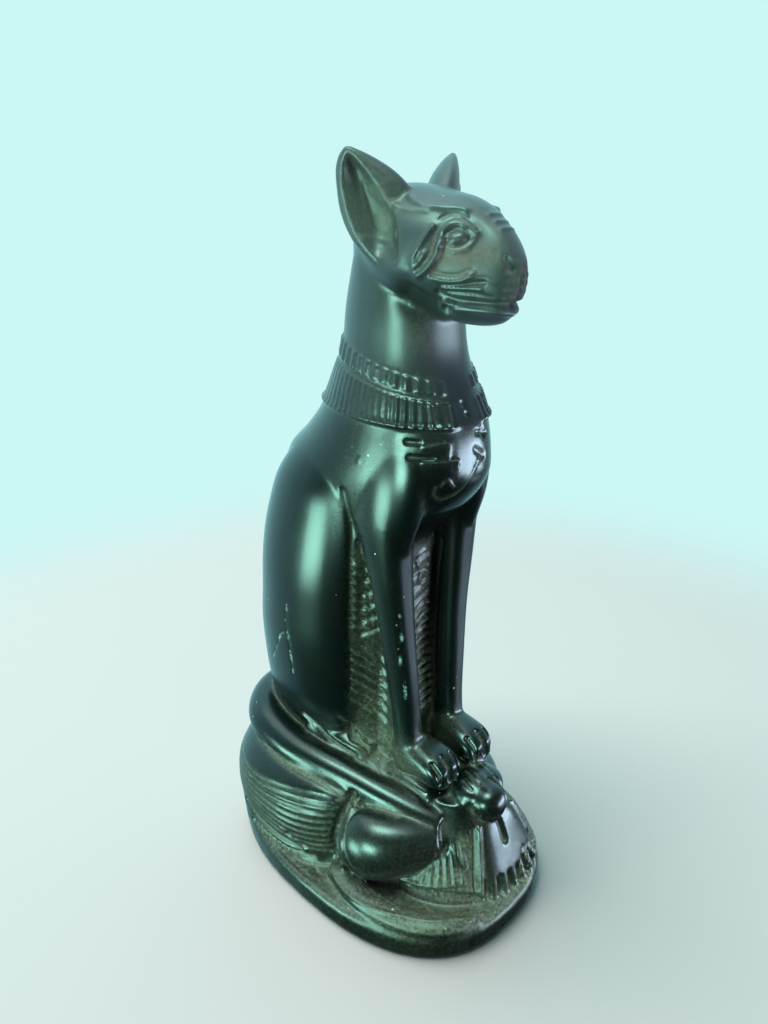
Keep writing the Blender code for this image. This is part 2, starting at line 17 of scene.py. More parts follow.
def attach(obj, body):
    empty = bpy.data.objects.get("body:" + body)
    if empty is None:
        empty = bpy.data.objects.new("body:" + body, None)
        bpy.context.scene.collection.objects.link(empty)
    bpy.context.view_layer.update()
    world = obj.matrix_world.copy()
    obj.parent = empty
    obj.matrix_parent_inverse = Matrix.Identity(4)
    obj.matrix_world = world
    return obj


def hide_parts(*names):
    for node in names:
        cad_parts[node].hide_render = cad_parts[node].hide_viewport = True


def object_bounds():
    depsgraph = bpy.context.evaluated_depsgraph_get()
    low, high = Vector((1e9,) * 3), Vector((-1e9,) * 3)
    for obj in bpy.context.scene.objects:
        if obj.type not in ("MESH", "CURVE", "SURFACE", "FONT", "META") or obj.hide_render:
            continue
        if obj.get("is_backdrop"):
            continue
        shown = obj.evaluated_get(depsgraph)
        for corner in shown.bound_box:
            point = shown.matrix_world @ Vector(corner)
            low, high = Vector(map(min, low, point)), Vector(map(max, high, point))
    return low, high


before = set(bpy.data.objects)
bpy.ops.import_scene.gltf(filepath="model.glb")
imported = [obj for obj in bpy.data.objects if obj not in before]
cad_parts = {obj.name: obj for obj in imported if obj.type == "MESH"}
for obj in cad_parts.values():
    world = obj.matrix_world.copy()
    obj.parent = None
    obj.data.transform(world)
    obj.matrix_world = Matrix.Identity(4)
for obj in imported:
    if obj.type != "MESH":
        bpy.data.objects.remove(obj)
solid_low, solid_high = (list(corner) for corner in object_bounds())

# The casting's sizes, in metres, as its solid has them.
PLINTH_LENGTH = 0.0735
PLINTH_WIDTH = 0.0545
PLINTH_HEIGHT = 0.0056
SCARAB_HEIGHT = 0.0224
SCARAB_INSET = 0.0016
CAT_HEIGHT = 0.122
CAT_ASIDE = 0.0035

# The clay's grain in metres, and for how many rounds rough forms are blended at that grain.
CLAY_GRAIN = 0.0008
BLEND_ROUNDS = 5

# The forms below are laid out on a cat 122 units high, on a scarab seat 28 units above the table.
SEAT_HEIGHT = PLINTH_HEIGHT + SCARAB_HEIGHT
CAT_UNIT = CAT_HEIGHT / 122
SEAT = 28.0

# The plinth's bevel in metres, and how far its oval is towards a rectangle: 2 is an ellipse.
PLINTH_EDGE = 0.0006
PLINTH_SQUARENESS = 2.48

# Points around a form, a curve's steps between two rows, and the least half-width.
RING_POINTS = 48
STEPS_BETWEEN = 6
THINNEST = 0.05

# Bars and flutes around the collar.
COLLAR_BARS = 38
COLLAR_FLUTES = 60

# The left ear's two directions seen from above: along its blade, and out of its bowl.
EAR_ALONG = np.array((-0.695, -0.719, 0.0))
EAR_OUT = np.array((0.719, -0.695, 0.0))

# The shovel-shaped plate at the beetle's front lies aside of the beetle's middle.
PLATE_MIDDLE = 5.4

# Widths and heights of strokes are in millimetres. A stroke fades out within this many widths.
STROKE_UNIT = 0.001
STROKE_REACH = 2.2
STROKE_STEPS = 8


def smooth_rows(rows, steps=STEPS_BETWEEN):
    """Rows of numbers with a Catmull-Rom curve drawn through each column."""
    rows = np.asarray(rows, float)
    padded = np.vstack([2 * rows[0] - rows[1], rows, 2 * rows[-1] - rows[-2]])
    out = []
    for a, b, c, d in zip(padded, padded[1:], padded[2:], padded[3:]):
        for t in np.arange(steps) / steps:
            cubic = 2 * a - 5 * b + 4 * c - d + t * (3 * (b - c) + d - a)
            out.append(b + 0.5 * t * (c - a + t * cubic))
    out.append(rows[-1])
    return np.array(out)


def super_ring(power):
    """A ring of unit half-widths: an ellipse at power 2, squarer above it."""
    angle = np.linspace(0, 2 * math.pi, RING_POINTS, endpoint=False)
    c, s = np.cos(angle), np.sin(angle)
    return np.sign(c) * abs(c) ** (2 / power), np.sign(s) * abs(s) ** (2 / power)


def column(rows, power=2.0):
    """An upright form. Each row is height, centre x, centre y, half-width, half-depth."""
    across, along = super_ring(power)
    rings = []
    for z, cx, cy, a, b in smooth_rows(rows):
        a, b = max(a, THINNEST), max(b, THINNEST)
        rings.append(np.stack([cx + a * across, cy + b * along, np.full(RING_POINTS, z)], 1))
    return rings


def lengthwise(rows, power=2.0):
    """A form that runs from back to front. Each row is y, centre x, centre z, half-width, half-height."""
    across, up = super_ring(power)
    rings = []
    for y, cx, cz, a, b in smooth_rows(rows):
        a, b = max(a, THINNEST), max(b, THINNEST)
        rings.append(np.stack([cx + a * across, np.full(RING_POINTS, y), cz + b * up], 1))
    return rings


def limb(rows):
    """A form along a bent path. Each row is x, y, z, half-width, half-height across the path."""
    rows = smooth_rows(rows)
    path = rows[:, :3]
    heading = np.gradient(path, axis=0)
    heading /= np.linalg.norm(heading, axis=1)[:, None]
    side = np.cross(heading, (0.0, 0.0, 1.0))
    side /= np.linalg.norm(side, axis=1)[:, None]
    top = np.cross(side, heading)
    across, up = super_ring(2.0)
    rings = []
    for centre, s, t, row in zip(path, side, top, rows):
        a, b = max(row[3], THINNEST), max(row[4], THINNEST)
        rings.append(centre + a * across[:, None] * s + b * up[:, None] * t)
    return rings


def egg(x, y, z, a, b, c):
    """An ellipsoid about a centre, with its three half-sizes."""
    across, along = super_ring(2.0)
    rings = []
    for turn in np.linspace(-0.47, 0.47, 13) * math.pi:
        wide, high = math.cos(turn), math.sin(turn)
        level = np.full(RING_POINTS, z + c * high)
        rings.append(np.stack([x + a * wide * across, y + b * wide * along, level], 1))
    return rings


def both_sides(rings):
    """A form and its mirror image about the cat's or the beetle's middle."""
    return [rings, [ring * (-1, 1, 1) for ring in rings]]


def cat_place(points):
    """From the cat's units to metres, on top of the scarab."""
    return points * CAT_UNIT + (CAT_ASIDE, 0.0, SEAT_HEIGHT - SEAT * CAT_UNIT)


def scarab_place(points):
    """From units on a plinth of 73.5 by 54.5 with a scarab 22.4 high to metres."""
    across = (PLINTH_WIDTH / 2 - SCARAB_INSET) / 25.65
    along = (PLINTH_LENGTH / 2 - SCARAB_INSET) / 35.15
    up = SCARAB_HEIGHT / 22.4
    return (points - (0.0, 0.0, 5.6)) * (across, along, up) + (0.0, 0.0, PLINTH_HEIGHT)


def ear_form():
    """The left ear, a leaf facing out and forwards. Rows are along, out, height, half-width, half-depth."""
    rows = [
        (-1.6, 8.8, 129.4, 1.0, 0.8),
        (-2.8, 8.4, 131.6, 2.8, 1.9),
        (-4.2, 7.5, 134.4, 4.3, 2.8),
        (-5.2, 6.8, 137.6, 5.3, 3.1),
        (-5.6, 6.6, 140.7, 6.0, 3.2),
        (-5.6, 6.7, 143.5, 6.4, 3.1),
        (-7.0, 7.4, 146.4, 5.2, 2.5),
        (-8.6, 8.2, 148.6, 3.2, 1.6),
        (-9.7, 8.9, 150.0, 1.2, 0.7),
        (-10.2, 9.0, 150.5, 0.3, 0.3),
    ]
    across, deep = super_ring(2.0)
    rings = []
    for s, n, z, a, b in smooth_rows(rows):
        flat = (s + a * across)[:, None] * EAR_ALONG + (n + b * deep)[:, None] * EAR_OUT
        rings.append(flat + (0.0, 0.0, z))
    return rings


def cat_forms():
    """The rough forms of the cat: each is a list of rings."""
    trunk = column([
        (26, 0, 12.5, 12.0, 16.0),
        (32, 0, 13.5, 14.0, 17.5),
        (44, 0, 14.0, 14.6, 17.8),
        (58, 0, 13.4, 14.8, 18.4),
        (70, 0, 12.4, 14.6, 17.4),
        (78, 0, 12.2, 14.8, 17.8),
        (83, 0, 11.0, 14.8, 19.0),
        (88, 0, 7.8, 14.8, 22.2),
        (94, 0, 4.8, 14.8, 23.0),
        (99, 0, 2.1, 14.2, 20.3),
        (104, 0, 0.3, 13.5, 17.5),
        (108, 0, 0.0, 13.0, 15.4),
        (112, 0, 0.1, 12.0, 13.5),
        (117, 0, 0.0, 10.8, 11.8),
        (124, 0, 0.1, 10.1, 11.0),
        (131, 0, 0.0, 9.4, 9.6),
        (137, 0, 0.0, 8.4, 8.4),
    ], 2.25)
    chest = egg(0, -6.0, 97.4, 11.8, 12.4, 13.0)
    head = lengthwise([
        (10.8, 0, 133.6, 1.0, 1.6),
        (9.6, 0, 133.8, 3.8, 5.6),
        (7.2, 0, 134.2, 6.2, 8.2),
        (3.8, 0, 134.6, 8.4, 9.5),
        (-0.6, 0, 134.8, 10.3, 10.2),
        (-5.0, 0, 134.5, 11.2, 10.3),
        (-10.0, 0, 133.6, 10.9, 10.2),
        (-14.0, 0, 132.8, 9.4, 10.2),
        (-17.4, 0, 132.0, 7.6, 9.6),
        (-20.0, 0, 131.2, 6.0, 8.6),
        (-22.4, 0, 130.6, 4.6, 7.2),
        (-24.3, 0, 130.6, 3.3, 4.7),
        (-25.5, 0, 131.2, 1.6, 2.1),
    ], 2.15)
    haunches = both_sides(column([
        (27, 10.0, 17.0, 4.0, 8.0),
        (31, 9.4, 16.6, 6.8, 12.8),
        (38, 9.6, 16.4, 7.8, 14.9),
        (46, 9.9, 16.4, 8.4, 15.4),
        (54, 10.3, 16.2, 8.7, 15.3),
        (62, 10.4, 15.6, 8.7, 15.0),
        (69, 10.4, 15.1, 8.7, 14.9),
        (76, 10.0, 14.4, 8.6, 14.9),
        (83, 9.2, 13.4, 8.5, 14.5),
        (90, 8.3, 12.2, 8.0, 13.4),
        (96, 7.1, 10.2, 6.2, 11.0),
        (101, 5.8, 7.6, 2.8, 6.6),
    ], 2.1))
    shoulders = both_sides(column([
        (76, 9.8, -4.8, 3.4, 4.6),
        (82, 9.9, -4.8, 4.3, 6.4),
        (89, 9.5, -5.0, 4.9, 8.4),
        (96, 8.6, -5.2, 5.1, 9.0),
        (103, 7.2, -5.2, 4.8, 7.6),
        (109, 5.6, -4.6, 3.4, 5.4),
    ]))
    forelegs = both_sides(column([
        (28, 6.6, -10.4, 3.0, 3.2),
        (33, 6.7, -9.5, 2.8, 3.0),
        (40, 6.9, -8.7, 2.7, 3.0),
        (50, 7.5, -7.8, 2.9, 3.3),
        (62, 8.4, -6.7, 3.2, 3.7),
        (72, 9.3, -6.0, 3.7, 4.3),
        (80, 9.8, -5.2, 4.1, 5.2),
        (86, 9.8, -4.6, 4.6, 6.4),
    ], 2.9))
    paws = both_sides(lengthwise([
        (-6.0, 6.2, 31.0, 2.4, 3.2),
        (-10.0, 6.0, 31.6, 3.8, 4.0),
        (-14.0, 5.7, 31.4, 4.5, 3.9),
        (-17.8, 5.6, 30.8, 4.6, 3.5),
        (-20.4, 5.5, 30.0, 3.4, 2.3),
    ], 2.5))
    side_webs = both_sides(
        column([(26, 6.0, 2.0, 1.8, 11.0), (60, 6.6, 2.0, 1.6, 9.0), (92, 7.2, 2.0, 1.6, 9.0)], 4.0)
    )
    front_web = column([(26, 0, 1.0, 7.0, 8.0), (60, 0, 2.0, 7.6, 6.0), (92, 0, 2.0, 8.0, 6.0)], 4.0)
    hind_feet = both_sides(limb([
        (14.6, 14.0, 30.4, 2.4, 3.4),
        (13.2, 8.0, 29.6, 2.8, 3.0),
        (11.2, 2.4, 28.8, 3.2, 2.8),
        (9.8, -1.4, 28.2, 2.2, 1.8),
    ]))
    tail = limb([
        (8.0, 30.0, 30.0, 2.6, 3.2),
        (-2.0, 32.0, 30.2, 3.6, 3.8),
        (-12.0, 31.0, 29.8, 4.2, 4.2),
        (-18.2, 25.2, 28.8, 4.5, 4.2),
        (-19.6, 16.2, 27.4, 4.3, 4.0),
        (-18.2, 7.0, 26.1, 4.0, 3.8),
        (-15.8, -1.0, 24.7, 3.9, 3.7),
        (-13.4, -9.0, 23.1, 3.8, 3.5),
        (-10.8, -16.0, 21.4, 3.5, 3.2),
        (-8.8, -20.8, 20.2, 2.8, 2.6),
    ])
    groups = both_sides(ear_form()) + haunches + shoulders + forelegs + paws + side_webs + hind_feet
    return [trunk, chest, head, front_web, tail] + groups


def scarab_forms():
    """The beetle that the cat sits on: wing cases, thorax, head and shovel-shaped front."""
    wing_cases = column([
        (3.0, 0.0, 13.6, 24.8, 21.8),
        (10.0, 0.2, 13.8, 25.4, 22.2),
        (16.0, 0.3, 13.9, 26.0, 22.6),
        (21.0, 0.5, 13.8, 25.2, 22.4),
        (25.0, 1.2, 13.2, 22.4, 20.8),
        (28.0, 2.6, 12.2, 16.6, 17.0),
        (29.0, 3.0, 12.0, 10.0, 10.0),
    ], 2.5)
    thorax = column([
        (3.0, 1.6, -4.0, 22.0, 17.0),
        (8.0, 1.6, -4.0, 21.6, 16.6),
        (14.0, 2.2, -4.4, 20.6, 16.4),
        (20.0, 3.2, -5.0, 17.8, 15.8),
        (25.0, 4.0, -6.0, 14.0, 14.2),
        (27.6, 4.4, -6.0, 10.0, 10.8),
    ], 2.3)
    lobes = both_sides(limb([
        (-15.6, -5.0, 15.0, 4.2, 5.6),
        (-16.0, -8.8, 15.2, 6.5, 7.8),
        (-14.4, -12.8, 15.6, 7.0, 7.8),
        (-11.2, -17.4, 16.4, 5.6, 6.4),
        (-7.0, -22.2, 17.4, 3.0, 3.8),
    ]))
    front = column([
        (3.0, 3.0, -14.0, 17.4, 19.0),
        (8.0, 3.0, -14.0, 17.0, 18.6),
        (14.0, 3.1, -14.4, 14.2, 15.8),
        (20.0, 3.3, -14.8, 11.2, 13.0),
        (24.5, 3.5, -15.0, 8.8, 10.6),
    ], 2.1)
    clypeus = column([
        (3.0, 5.4, -24.6, 12.4, 10.4),
        (7.6, 5.4, -24.4, 12.0, 10.0),
        (14.0, 5.2, -24.4, 9.4, 7.2),
        (19.0, 4.8, -24.2, 7.2, 5.2),
        (22.0, 4.4, -24.2, 4.6, 3.4),
    ], 2.6)
    knob = egg(3.6, -26.2, 24.2, 4.3, 4.0, 3.9)
    brow = egg(4.8, -22.2, 24.8, 6.6, 5.2, 4.0)
    forelimbs = both_sides(limb([
        (20.4, -4.0, 7.2, 2.4, 1.8),
        (21.8, -13.0, 6.8, 2.8, 2.1),
        (20.0, -22.0, 6.4, 2.8, 2.0),
        (15.2, -29.4, 6.0, 2.6, 1.8),
        (8.0, -33.6, 5.6, 1.8, 1.2),
    ]))
    return [wing_cases, thorax, front, clypeus, knob, brow] + lobes + forelimbs


def plinth_form():
    """The flat oval slab, in metres, from the table up."""
    across, along = super_ring(PLINTH_SQUARENESS)
    rings = []
    for share, inset in ((0, PLINTH_EDGE), (0.18, 0.0), (0.8, 0.0), (1, PLINTH_EDGE)):
        a, b = PLINTH_WIDTH / 2 - inset, PLINTH_LENGTH / 2 - inset
        level = np.full(RING_POINTS, PLINTH_HEIGHT * share)
        rings.append(np.stack([a * across, b * along, level], 1))
    return rings


def add_skin(bm, rings):
    """A closed skin through rings of points, with flat ends."""
    loops = [[bm.verts.new(point) for point in ring] for ring in rings]
    n = RING_POINTS
    faces = [bm.faces.new(loops[0]), bm.faces.new(loops[-1])]
    for low, high in zip(loops, loops[1:]):
        for i in range(n):
            j = (i + 1) % n
            faces.append(bm.faces.new((low[i], low[j], high[j], high[i])))
    bmesh.ops.recalc_face_normals(bm, faces=faces)


def rough_mesh():
    """The rough forms, each a skin of its own, in one mesh."""
    bm = bmesh.new()
    for rings in cat_forms():
        add_skin(bm, [cat_place(ring) for ring in rings])
    for rings in scarab_forms():
        add_skin(bm, [scarab_place(ring) for ring in rings])
    add_skin(bm, plinth_form())
    mesh = bpy.data.meshes.new("cat_figurine")
    bm.to_mesh(mesh)
    bm.free()
    return mesh


def applied(obj):
    """The object's mesh with its modifiers applied."""
    graph = bpy.context.evaluated_depsgraph_get()
    mesh = bpy.data.meshes.new_from_object(obj.evaluated_get(graph))
    obj.modifiers.clear()
    obj.data = mesh
    return mesh


def fuse(obj, grain):
    """Makes one body of the rough forms and blends them into each other."""
    remesh = obj.modifiers.new("one_body", "REMESH")
    remesh.mode = "VOXEL"
    remesh.voxel_size = grain
    smooth = obj.modifiers.new("blend", "SMOOTH")
    smooth.iterations = round(BLEND_ROUNDS * (CLAY_GRAIN / grain) ** 2)
    smooth.factor = 0.5
    return applied(obj)


def read_points(mesh, name="co"):
    """A mesh's points, or their normals, as rows of three."""
    flat = np.empty(len(mesh.vertices) * 3, np.float32)
    mesh.vertices.foreach_get(name, flat)
    return flat.reshape(-1, 3).astype(float)


def swap_sides(rows, side, middle=0.0):
    """Rows as they are where side is 1, and mirrored about an upright plane where it is -1."""
    turned = np.array(rows, float)
    turned[:, 0] = middle + side * (turned[:, 0] - middle)
    return turned


def line(a, b, bulge=(0.0, 0.0, 0.0)):
    """Three points from a to b, with the middle one pushed out."""
    return [a, [(p + q) / 2 + r for p, q, r in zip(a, b, bulge)], b]


class Carver:
    """Moves a body's points in and out along their normals, by strokes that follow its surface."""

    def __init__(self, obj):
        self.mesh = obj.data
        self.points = read_points(self.mesh)
        self.normals = read_points(self.mesh, "normal")
        self.moves, self.dust, self.chips = np.zeros((3, len(self.points)))
        self.tree = BVHTree.FromObject(obj, bpy.context.evaluated_depsgraph_get())

    def near(self, place, rows, reach):
        """Distance from each point to a smooth path laid on the surface, for the points within reach."""
        path = place(smooth_rows(rows, STROKE_STEPS))
        path = np.array([self.tree.find_nearest(p)[0] for p in path])
        box = (self.points > path.min(0) - reach).all(1) & (self.points < path.max(0) + reach).all(1)
        inside = np.nonzero(box)[0]
        starts, steps = path[:-1], np.diff(path, axis=0)
        lengths = np.maximum((steps**2).sum(1), 1e-18)
        best = np.full(len(inside), 1e9)
        for a, step, length in zip(starts, steps, lengths):
            away = self.points[inside] - a
            along = np.clip(away @ step / length, 0, 1)
            best = np.minimum(best, np.linalg.norm(away - along[:, None] * step, axis=1))
        return inside, best

    def stroke(self, place, rows, width, height, dust=0.0, chips=0.0):
        """A rounded ridge along a path, or a groove where its height is below nothing."""
        inside, away = self.near(place, rows, STROKE_REACH * width * STROKE_UNIT)
        fade = np.exp(-((away / (0.5 * width * STROKE_UNIT)) ** 2))
        self.moves[inside] += height * STROKE_UNIT * fade
        self.dust[inside] = np.maximum(self.dust[inside], dust * fade)
        self.chips[inside] = np.maximum(self.chips[inside], chips * fade)

    def strokes(self, place, rows, width, height, dust=0.0, middle=0.0):
        """The same stroke on both sides of an upright plane."""
        for side in (1, -1):
            self.stroke(place, swap_sides(rows, side, middle), width, height, dust)

    def shift(self, move):
        """Adds a move, in millimetres, to every point's."""
        self.moves += move * STROKE_UNIT

    def finish(self):
        """Moves the points."""
        moved = self.points + self.normals * self.moves[:, None]
        self.mesh.vertices.foreach_set("co", moved.astype(np.float32).ravel())
        self.mesh.update()


def step_up(value, low, high):
    """From 0 at low to 1 at high, without corners."""
    t = np.clip((value - low) / (high - low), 0, 1)
    return t * t * (3 - 2 * t)


def carve_collar(tool, cat):
    """A narrow band of upright bars above a wide fluted one, lower in front."""
    x, y, z = cat.T
    round_neck = np.arctan2(x, -y - 0.5)
    top = 116.4 + 0.28 * y
    middle = 113.0 + 0.22 * y
    bottom = 105.2 + 0.05 * y
    narrow = step_up(z, middle, middle + 0.5) * step_up(-z, -top, -top + 0.5)
    wide = step_up(z, bottom, bottom + 0.5) * step_up(-z, -middle + 0.6, -middle + 1.1)
    bars = 0.5 + 0.5 * np.cos(round_neck * COLLAR_BARS)
    flutes = 0.5 + 0.5 * np.cos(round_neck * COLLAR_FLUTES)
    crisp = 0.35 + 0.65 * step_up(-abs(round_neck), -1.25, -0.85)
    low_rim = np.exp(-(((z - bottom - 0.5) / 0.55) ** 2))
    worn = step_up(abs(round_neck), 0.12, 0.42)
    band = narrow * (0.15 + 0.3 * bars) + wide * (0.25 + 0.3 * flutes * crisp) + 0.4 * low_rim
    tool.shift(worn * band)


def carve_ears(tool, cat, normals):
    """Each ear is hollowed from its front, inside a rim."""
    for side in (1, -1):
        x, y, z = (cat * (side, 1, 1)).T
        along = EAR_ALONG[0] * x + EAR_ALONG[1] * y
        out = EAR_OUT[0] * x + EAR_OUT[1] * y
        facing = EAR_OUT[0] * side * normals[:, 0] + EAR_OUT[1] * normals[:, 1]
        levels = [131, 134, 137, 140, 144, 147, 149.5]
        middle = np.interp(z, levels, [-3.0, -4.0, -5.2, -6.2, -8.0, -9.1, -9.9])
        half = np.interp(z, levels, [0.5, 2.4, 3.7, 4.0, 3.1, 1.8, 0.4])
        bowl = np.clip(1 - ((along - middle) / half) ** 2, 0, 1)
        height = step_up(z, 131.5, 135.5) * step_up(-z, -149.6, -146.5)
        front = step_up(facing, 0.0, 0.35) * step_up(out, 3.5, 6.5)
        tool.shift(-2.3 * bowl * height * front)


def carve_face(tool):
    """Eyes and lids, brows, painted-eye lines, cheeks, mouth, nose, jaw and the ears' inner rims."""
    face = partial(tool.strokes, cat_place)
    face([(7.8, -15.8, 136.4), (6.8, -17.4, 136.6), (5.8, -18.8, 136.8)], 4.2, -0.7)
    face([(7.2, -16.8, 136.5), (6.9, -17.2, 136.6), (6.6, -17.6, 136.7)], 2.6, 0.9)
    upper_lid = [
        (9.1, -14.9, 135.4),
        (7.9, -15.1, 137.6),
        (6.8, -16.2, 138.8),
        (5.7, -17.6, 138.5),
        (4.9, -19.4, 137.5),
    ]
    face(upper_lid, 1.1, 0.6)
    lower_lid = [(8.6, -15.3, 135.6), (7.6, -16.9, 134.8), (6.4, -18.6, 135.2), (5.2, -19.4, 136.6)]
    face(lower_lid, 1.0, 0.4)
    brow = [(7.0, -7.0, 143.0), (7.3, -10.0, 141.4), (5.8, -13.6, 140.9), (4.2, -16.4, 140.6)]
    face(brow, 1.4, 0.5)
    line_inside = [(8.0, -15.3, 136.8), (9.2, -14.9, 134.0), (10.0, -13.8, 132.1), (10.5, -12.1, 130.7)]
    face(line_inside, 1.2, 0.7)
    line_outside = [(8.3, -13.4, 138.3), (9.9, -12.3, 135.6), (10.5, -11.2, 133.2), (10.3, -11.7, 131.1)]
    face(line_outside, 0.9, 0.4)
    cheek = [(9.3, -14.1, 130.6), (8.4, -16.5, 130.1), (7.2, -18.4, 130.3), (6.3, -19.7, 131.2)]
    face(cheek, 1.2, 0.5)
    mouth = [
        (8.2, -14.6, 128.0),
        (6.8, -16.4, 127.2),
        (5.4, -19.6, 126.8),
        (3.4, -23.2, 126.5),
        (0.0, -24.6, 126.2),
    ]
    face(mouth, 1.3, -0.8)
    lower_lip = [(6.4, -15.6, 125.6), (5.2, -19.4, 125.4), (3.0, -22.8, 125.3), (0.0, -24.0, 125.0)]
    face(lower_lip, 1.2, 0.35)
    face([(1.4, -25.0, 131.6), (2.2, -24.4, 132.4), (2.4, -23.6, 133.2)], 1.0, -0.5)
    split = [(0.0, -25.4, 131.0), (0.0, -25.6, 129.4), (0.0, -25.2, 127.4)]
    tool.stroke(cat_place, split, 0.9, -0.45)
    face([(9.4, -9.4, 127.6), (8.6, -11.6, 126.4), (7.8, -13.4, 125.4)], 5.0, -1.3)
    face([(9.6, -0.6, 143.6), (7.8, -3.2, 141.0), (7.2, -5.4, 139.6)], 1.2, 0.4)


def carve_body(tool):
    """Creases along the forelegs, barred panels between them, toes, and the tail's edges."""
    body = partial(tool.strokes, cat_place)
    crease = [
        (10.4, 2.4, 91.0),
        (12.8, 1.4, 84.0),
        (13.6, 1.2, 74.0),
        (13.8, 1.2, 60.0),
        (13.4, 1.6, 44.0),
    ]
    body(crease, 1.4, -0.5)
    behind_foreleg = [(12.6, -0.8, 80.0), (12.0, -2.6, 70.0), (10.6, -3.4, 58.0), (9.2, -4.6, 42.0)]
    body(behind_foreleg, 1.4, -0.6)
    within_foreleg = [(4.4, -6.4, 78.0), (4.8, -5.6, 64.0), (4.2, -5.8, 50.0), (3.6, -6.6, 38.0)]
    body(within_foreleg, 1.2, -0.5)
    for level in np.linspace(40.0, 74.0, 12):
        lean = -1.6 if level < 56 else 1.2
        width = 0.2 + 0.028 * (level - 40)
        bar = [(9.4, 1.0 + 2 * width, level), (9.0, -1.4, level + lean), (9.0, -3.6, level + 2 * lean)]
        body(bar, 1.2, -0.4)
    for level in np.linspace(42.0, 74.0, 11):
        bar = [(-3.0, -5.0, level - 0.8), (0.0, -4.6, level), (3.0, -5.0, level + 0.8)]
        tool.stroke(cat_place, bar, 1.2, -0.4)
    for x in (2.8, 5.9, 9.0):
        body([(x, -18.0, 34.0), (x, -19.8, 32.2), (x, -20.8, 29.6)], 1.0, -0.9)
    for step in (-1.4, 0.6):
        toe = [(12.4 + step, 4.0, 33.0), (11.6 + step, 0.6, 31.6), (10.6 + step, -2.0, 29.6)]
        body(toe, 1.0, -0.6)
    above_tail = [(-18.2, 13.7, 34.0), (-15.2, 2.4, 29.8), (-11.8, -6.4, 27.6), (-9.4, -16.4, 24.8)]
    tool.stroke(cat_place, above_tail, 1.2, -0.5)
    below_tail = [(-23.6, 21.0, 26.6), (-22.8, 9.6, 24.8), (-19.4, -3.9, 22.6), (-15.6, -14.0, 19.8)]
    tool.stroke(cat_place, below_tail, 1.2, -0.35)


def carve_scarab(tool):
    """Lines on the wing cases, the beetle's seams and rims, its toothed plate, knob and forelimbs."""
    beetle = partial(tool.strokes, scarab_place)
    for row in range(9):
        rear = 21.6 - 1.4 * row
        front = 23.4 - 1.7 * row
        beetle(
            [(-12.0, 34.0, rear), (-21.0, 29.0, rear), (-25.0, 18.0, rear), (-18.6, -3.0, front)],
            1.0, -0.2,
        )
    beetle([(-24.0, 24.0, 9.6), (-25.4, 14.0, 8.4), (-24.2, 4.0, 8.2)], 1.6, -0.9)
    beetle([(-24.8, 20.0, 6.8), (-25.2, 8.0, 6.8), (-22.6, -4.6, 8.0)], 1.2, -0.5)
    beetle([(-15.2, -4.4, 24.0), (-19.2, -3.4, 16.0), (-20.0, -3.6, 9.4)], 1.5, -1.1)
    beetle([(-15.0, -6.0, 22.6), (-19.8, -5.8, 15.6), (-21.0, -7.0, 9.6)], 1.4, 0.5)
    rim = [
        (-14.0, -6.4, 22.4),
        (-20.4, -8.2, 17.4),
        (-21.6, -10.8, 12.6),
        (-19.4, -14.6, 10.6),
        (-13.0, -20.0, 12.0),
        (-6.4, -23.0, 16.4),
    ]
    beetle(rim, 1.3, -0.8)
    for share in np.linspace(0.0, 1.0, 9):
        top = (-9.4 + 5.6 * share, -19.6 - 5.4 * share, 13.6 + 4.4 * share)
        low = (-12.6 + 8.2 * share, -19.0 - 11.0 * share, 9.2)
        beetle(line(top, low), 0.9, -0.25, middle=PLATE_MIDDLE)
    beetle([(-13.8, -17.4, 8.4), (-10.0, -25.0, 8.4), (-4.8, -30.8, 8.2)], 0.9, 0.4, middle=PLATE_MIDDLE)
    hem = [(-14.4, -17.8, 7.0), (-10.6, -25.6, 7.0), (-5.0, -31.6, 7.0)]
    beetle(hem, 0.9, -0.4, middle=PLATE_MIDDLE)
    beetle([(-0.8, -27.4, 20.0), (-2.6, -29.6, 13.6), (-4.0, -31.4, 7.4)], 1.1, 0.6, middle=PLATE_MIDDLE)
    border = [(-1.9, -27.0, 20.0), (-3.8, -29.0, 13.6), (-5.4, -30.6, 7.4)]
    beetle(border, 0.9, -0.5, middle=PLATE_MIDDLE)
    for tooth in np.linspace(-8.4, 9.2, 7):
        reach = math.sqrt(1 - (tooth / 12.2) ** 2)
        foot = (PLATE_MIDDLE + tooth, -24.5 - 10.2 * reach, 6.4)
        head = (PLATE_MIDDLE + tooth * 0.93, -24.4 - 9.2 * reach, 9.4)
        tool.stroke(scarab_place, line(head, foot), 1.3, -0.9)
    tool.stroke(scarab_place, [(4.2, -28.4, 20.6), (4.4, -29.4, 18.4), (4.4, -30.4, 15.6)], 1.3, -1.0)
    ring = [
        (-0.6, -27.6, 22.6),
        (1.6, -29.4, 21.0),
        (4.4, -29.6, 20.8),
        (7.2, -28.4, 22.0),
        (8.2, -26.4, 23.4),
    ]
    tool.stroke(scarab_place, ring, 1.0, 0.5)
    for fold in (-3.4, -1.2, 1.0, 3.2):
        crease = [(4.4 + fold, -19.6, 29.4), (4.2 + fold * 1.1, -22.0, 28.6), (3.8 + fold, -24.0, 27.6)]
        tool.stroke(scarab_place, crease, 0.7, -0.22)
    for share in np.linspace(0.0, 1.0, 11):
        turn = -0.32 - 0.84 * share
        inner = (-20.4 * math.cos(turn), 28.6 * math.sin(turn), 8.4)
        middle = (-22.0 * math.cos(turn - 0.06), 31.4 * math.sin(turn - 0.06), 8.4)
        outer = (-23.6 * math.cos(turn - 0.12), 33.6 * math.sin(turn - 0.12), 7.4)
        beetle([inner, middle, outer], 1.1, -0.45)


# The fine casting: its grain in metres, its most triangles, and what keeps it inside the solid's box.
FINE_GRAIN = 0.00034
MOST_TRIANGLES = 190000
BOX_MARGIN = 0.00002

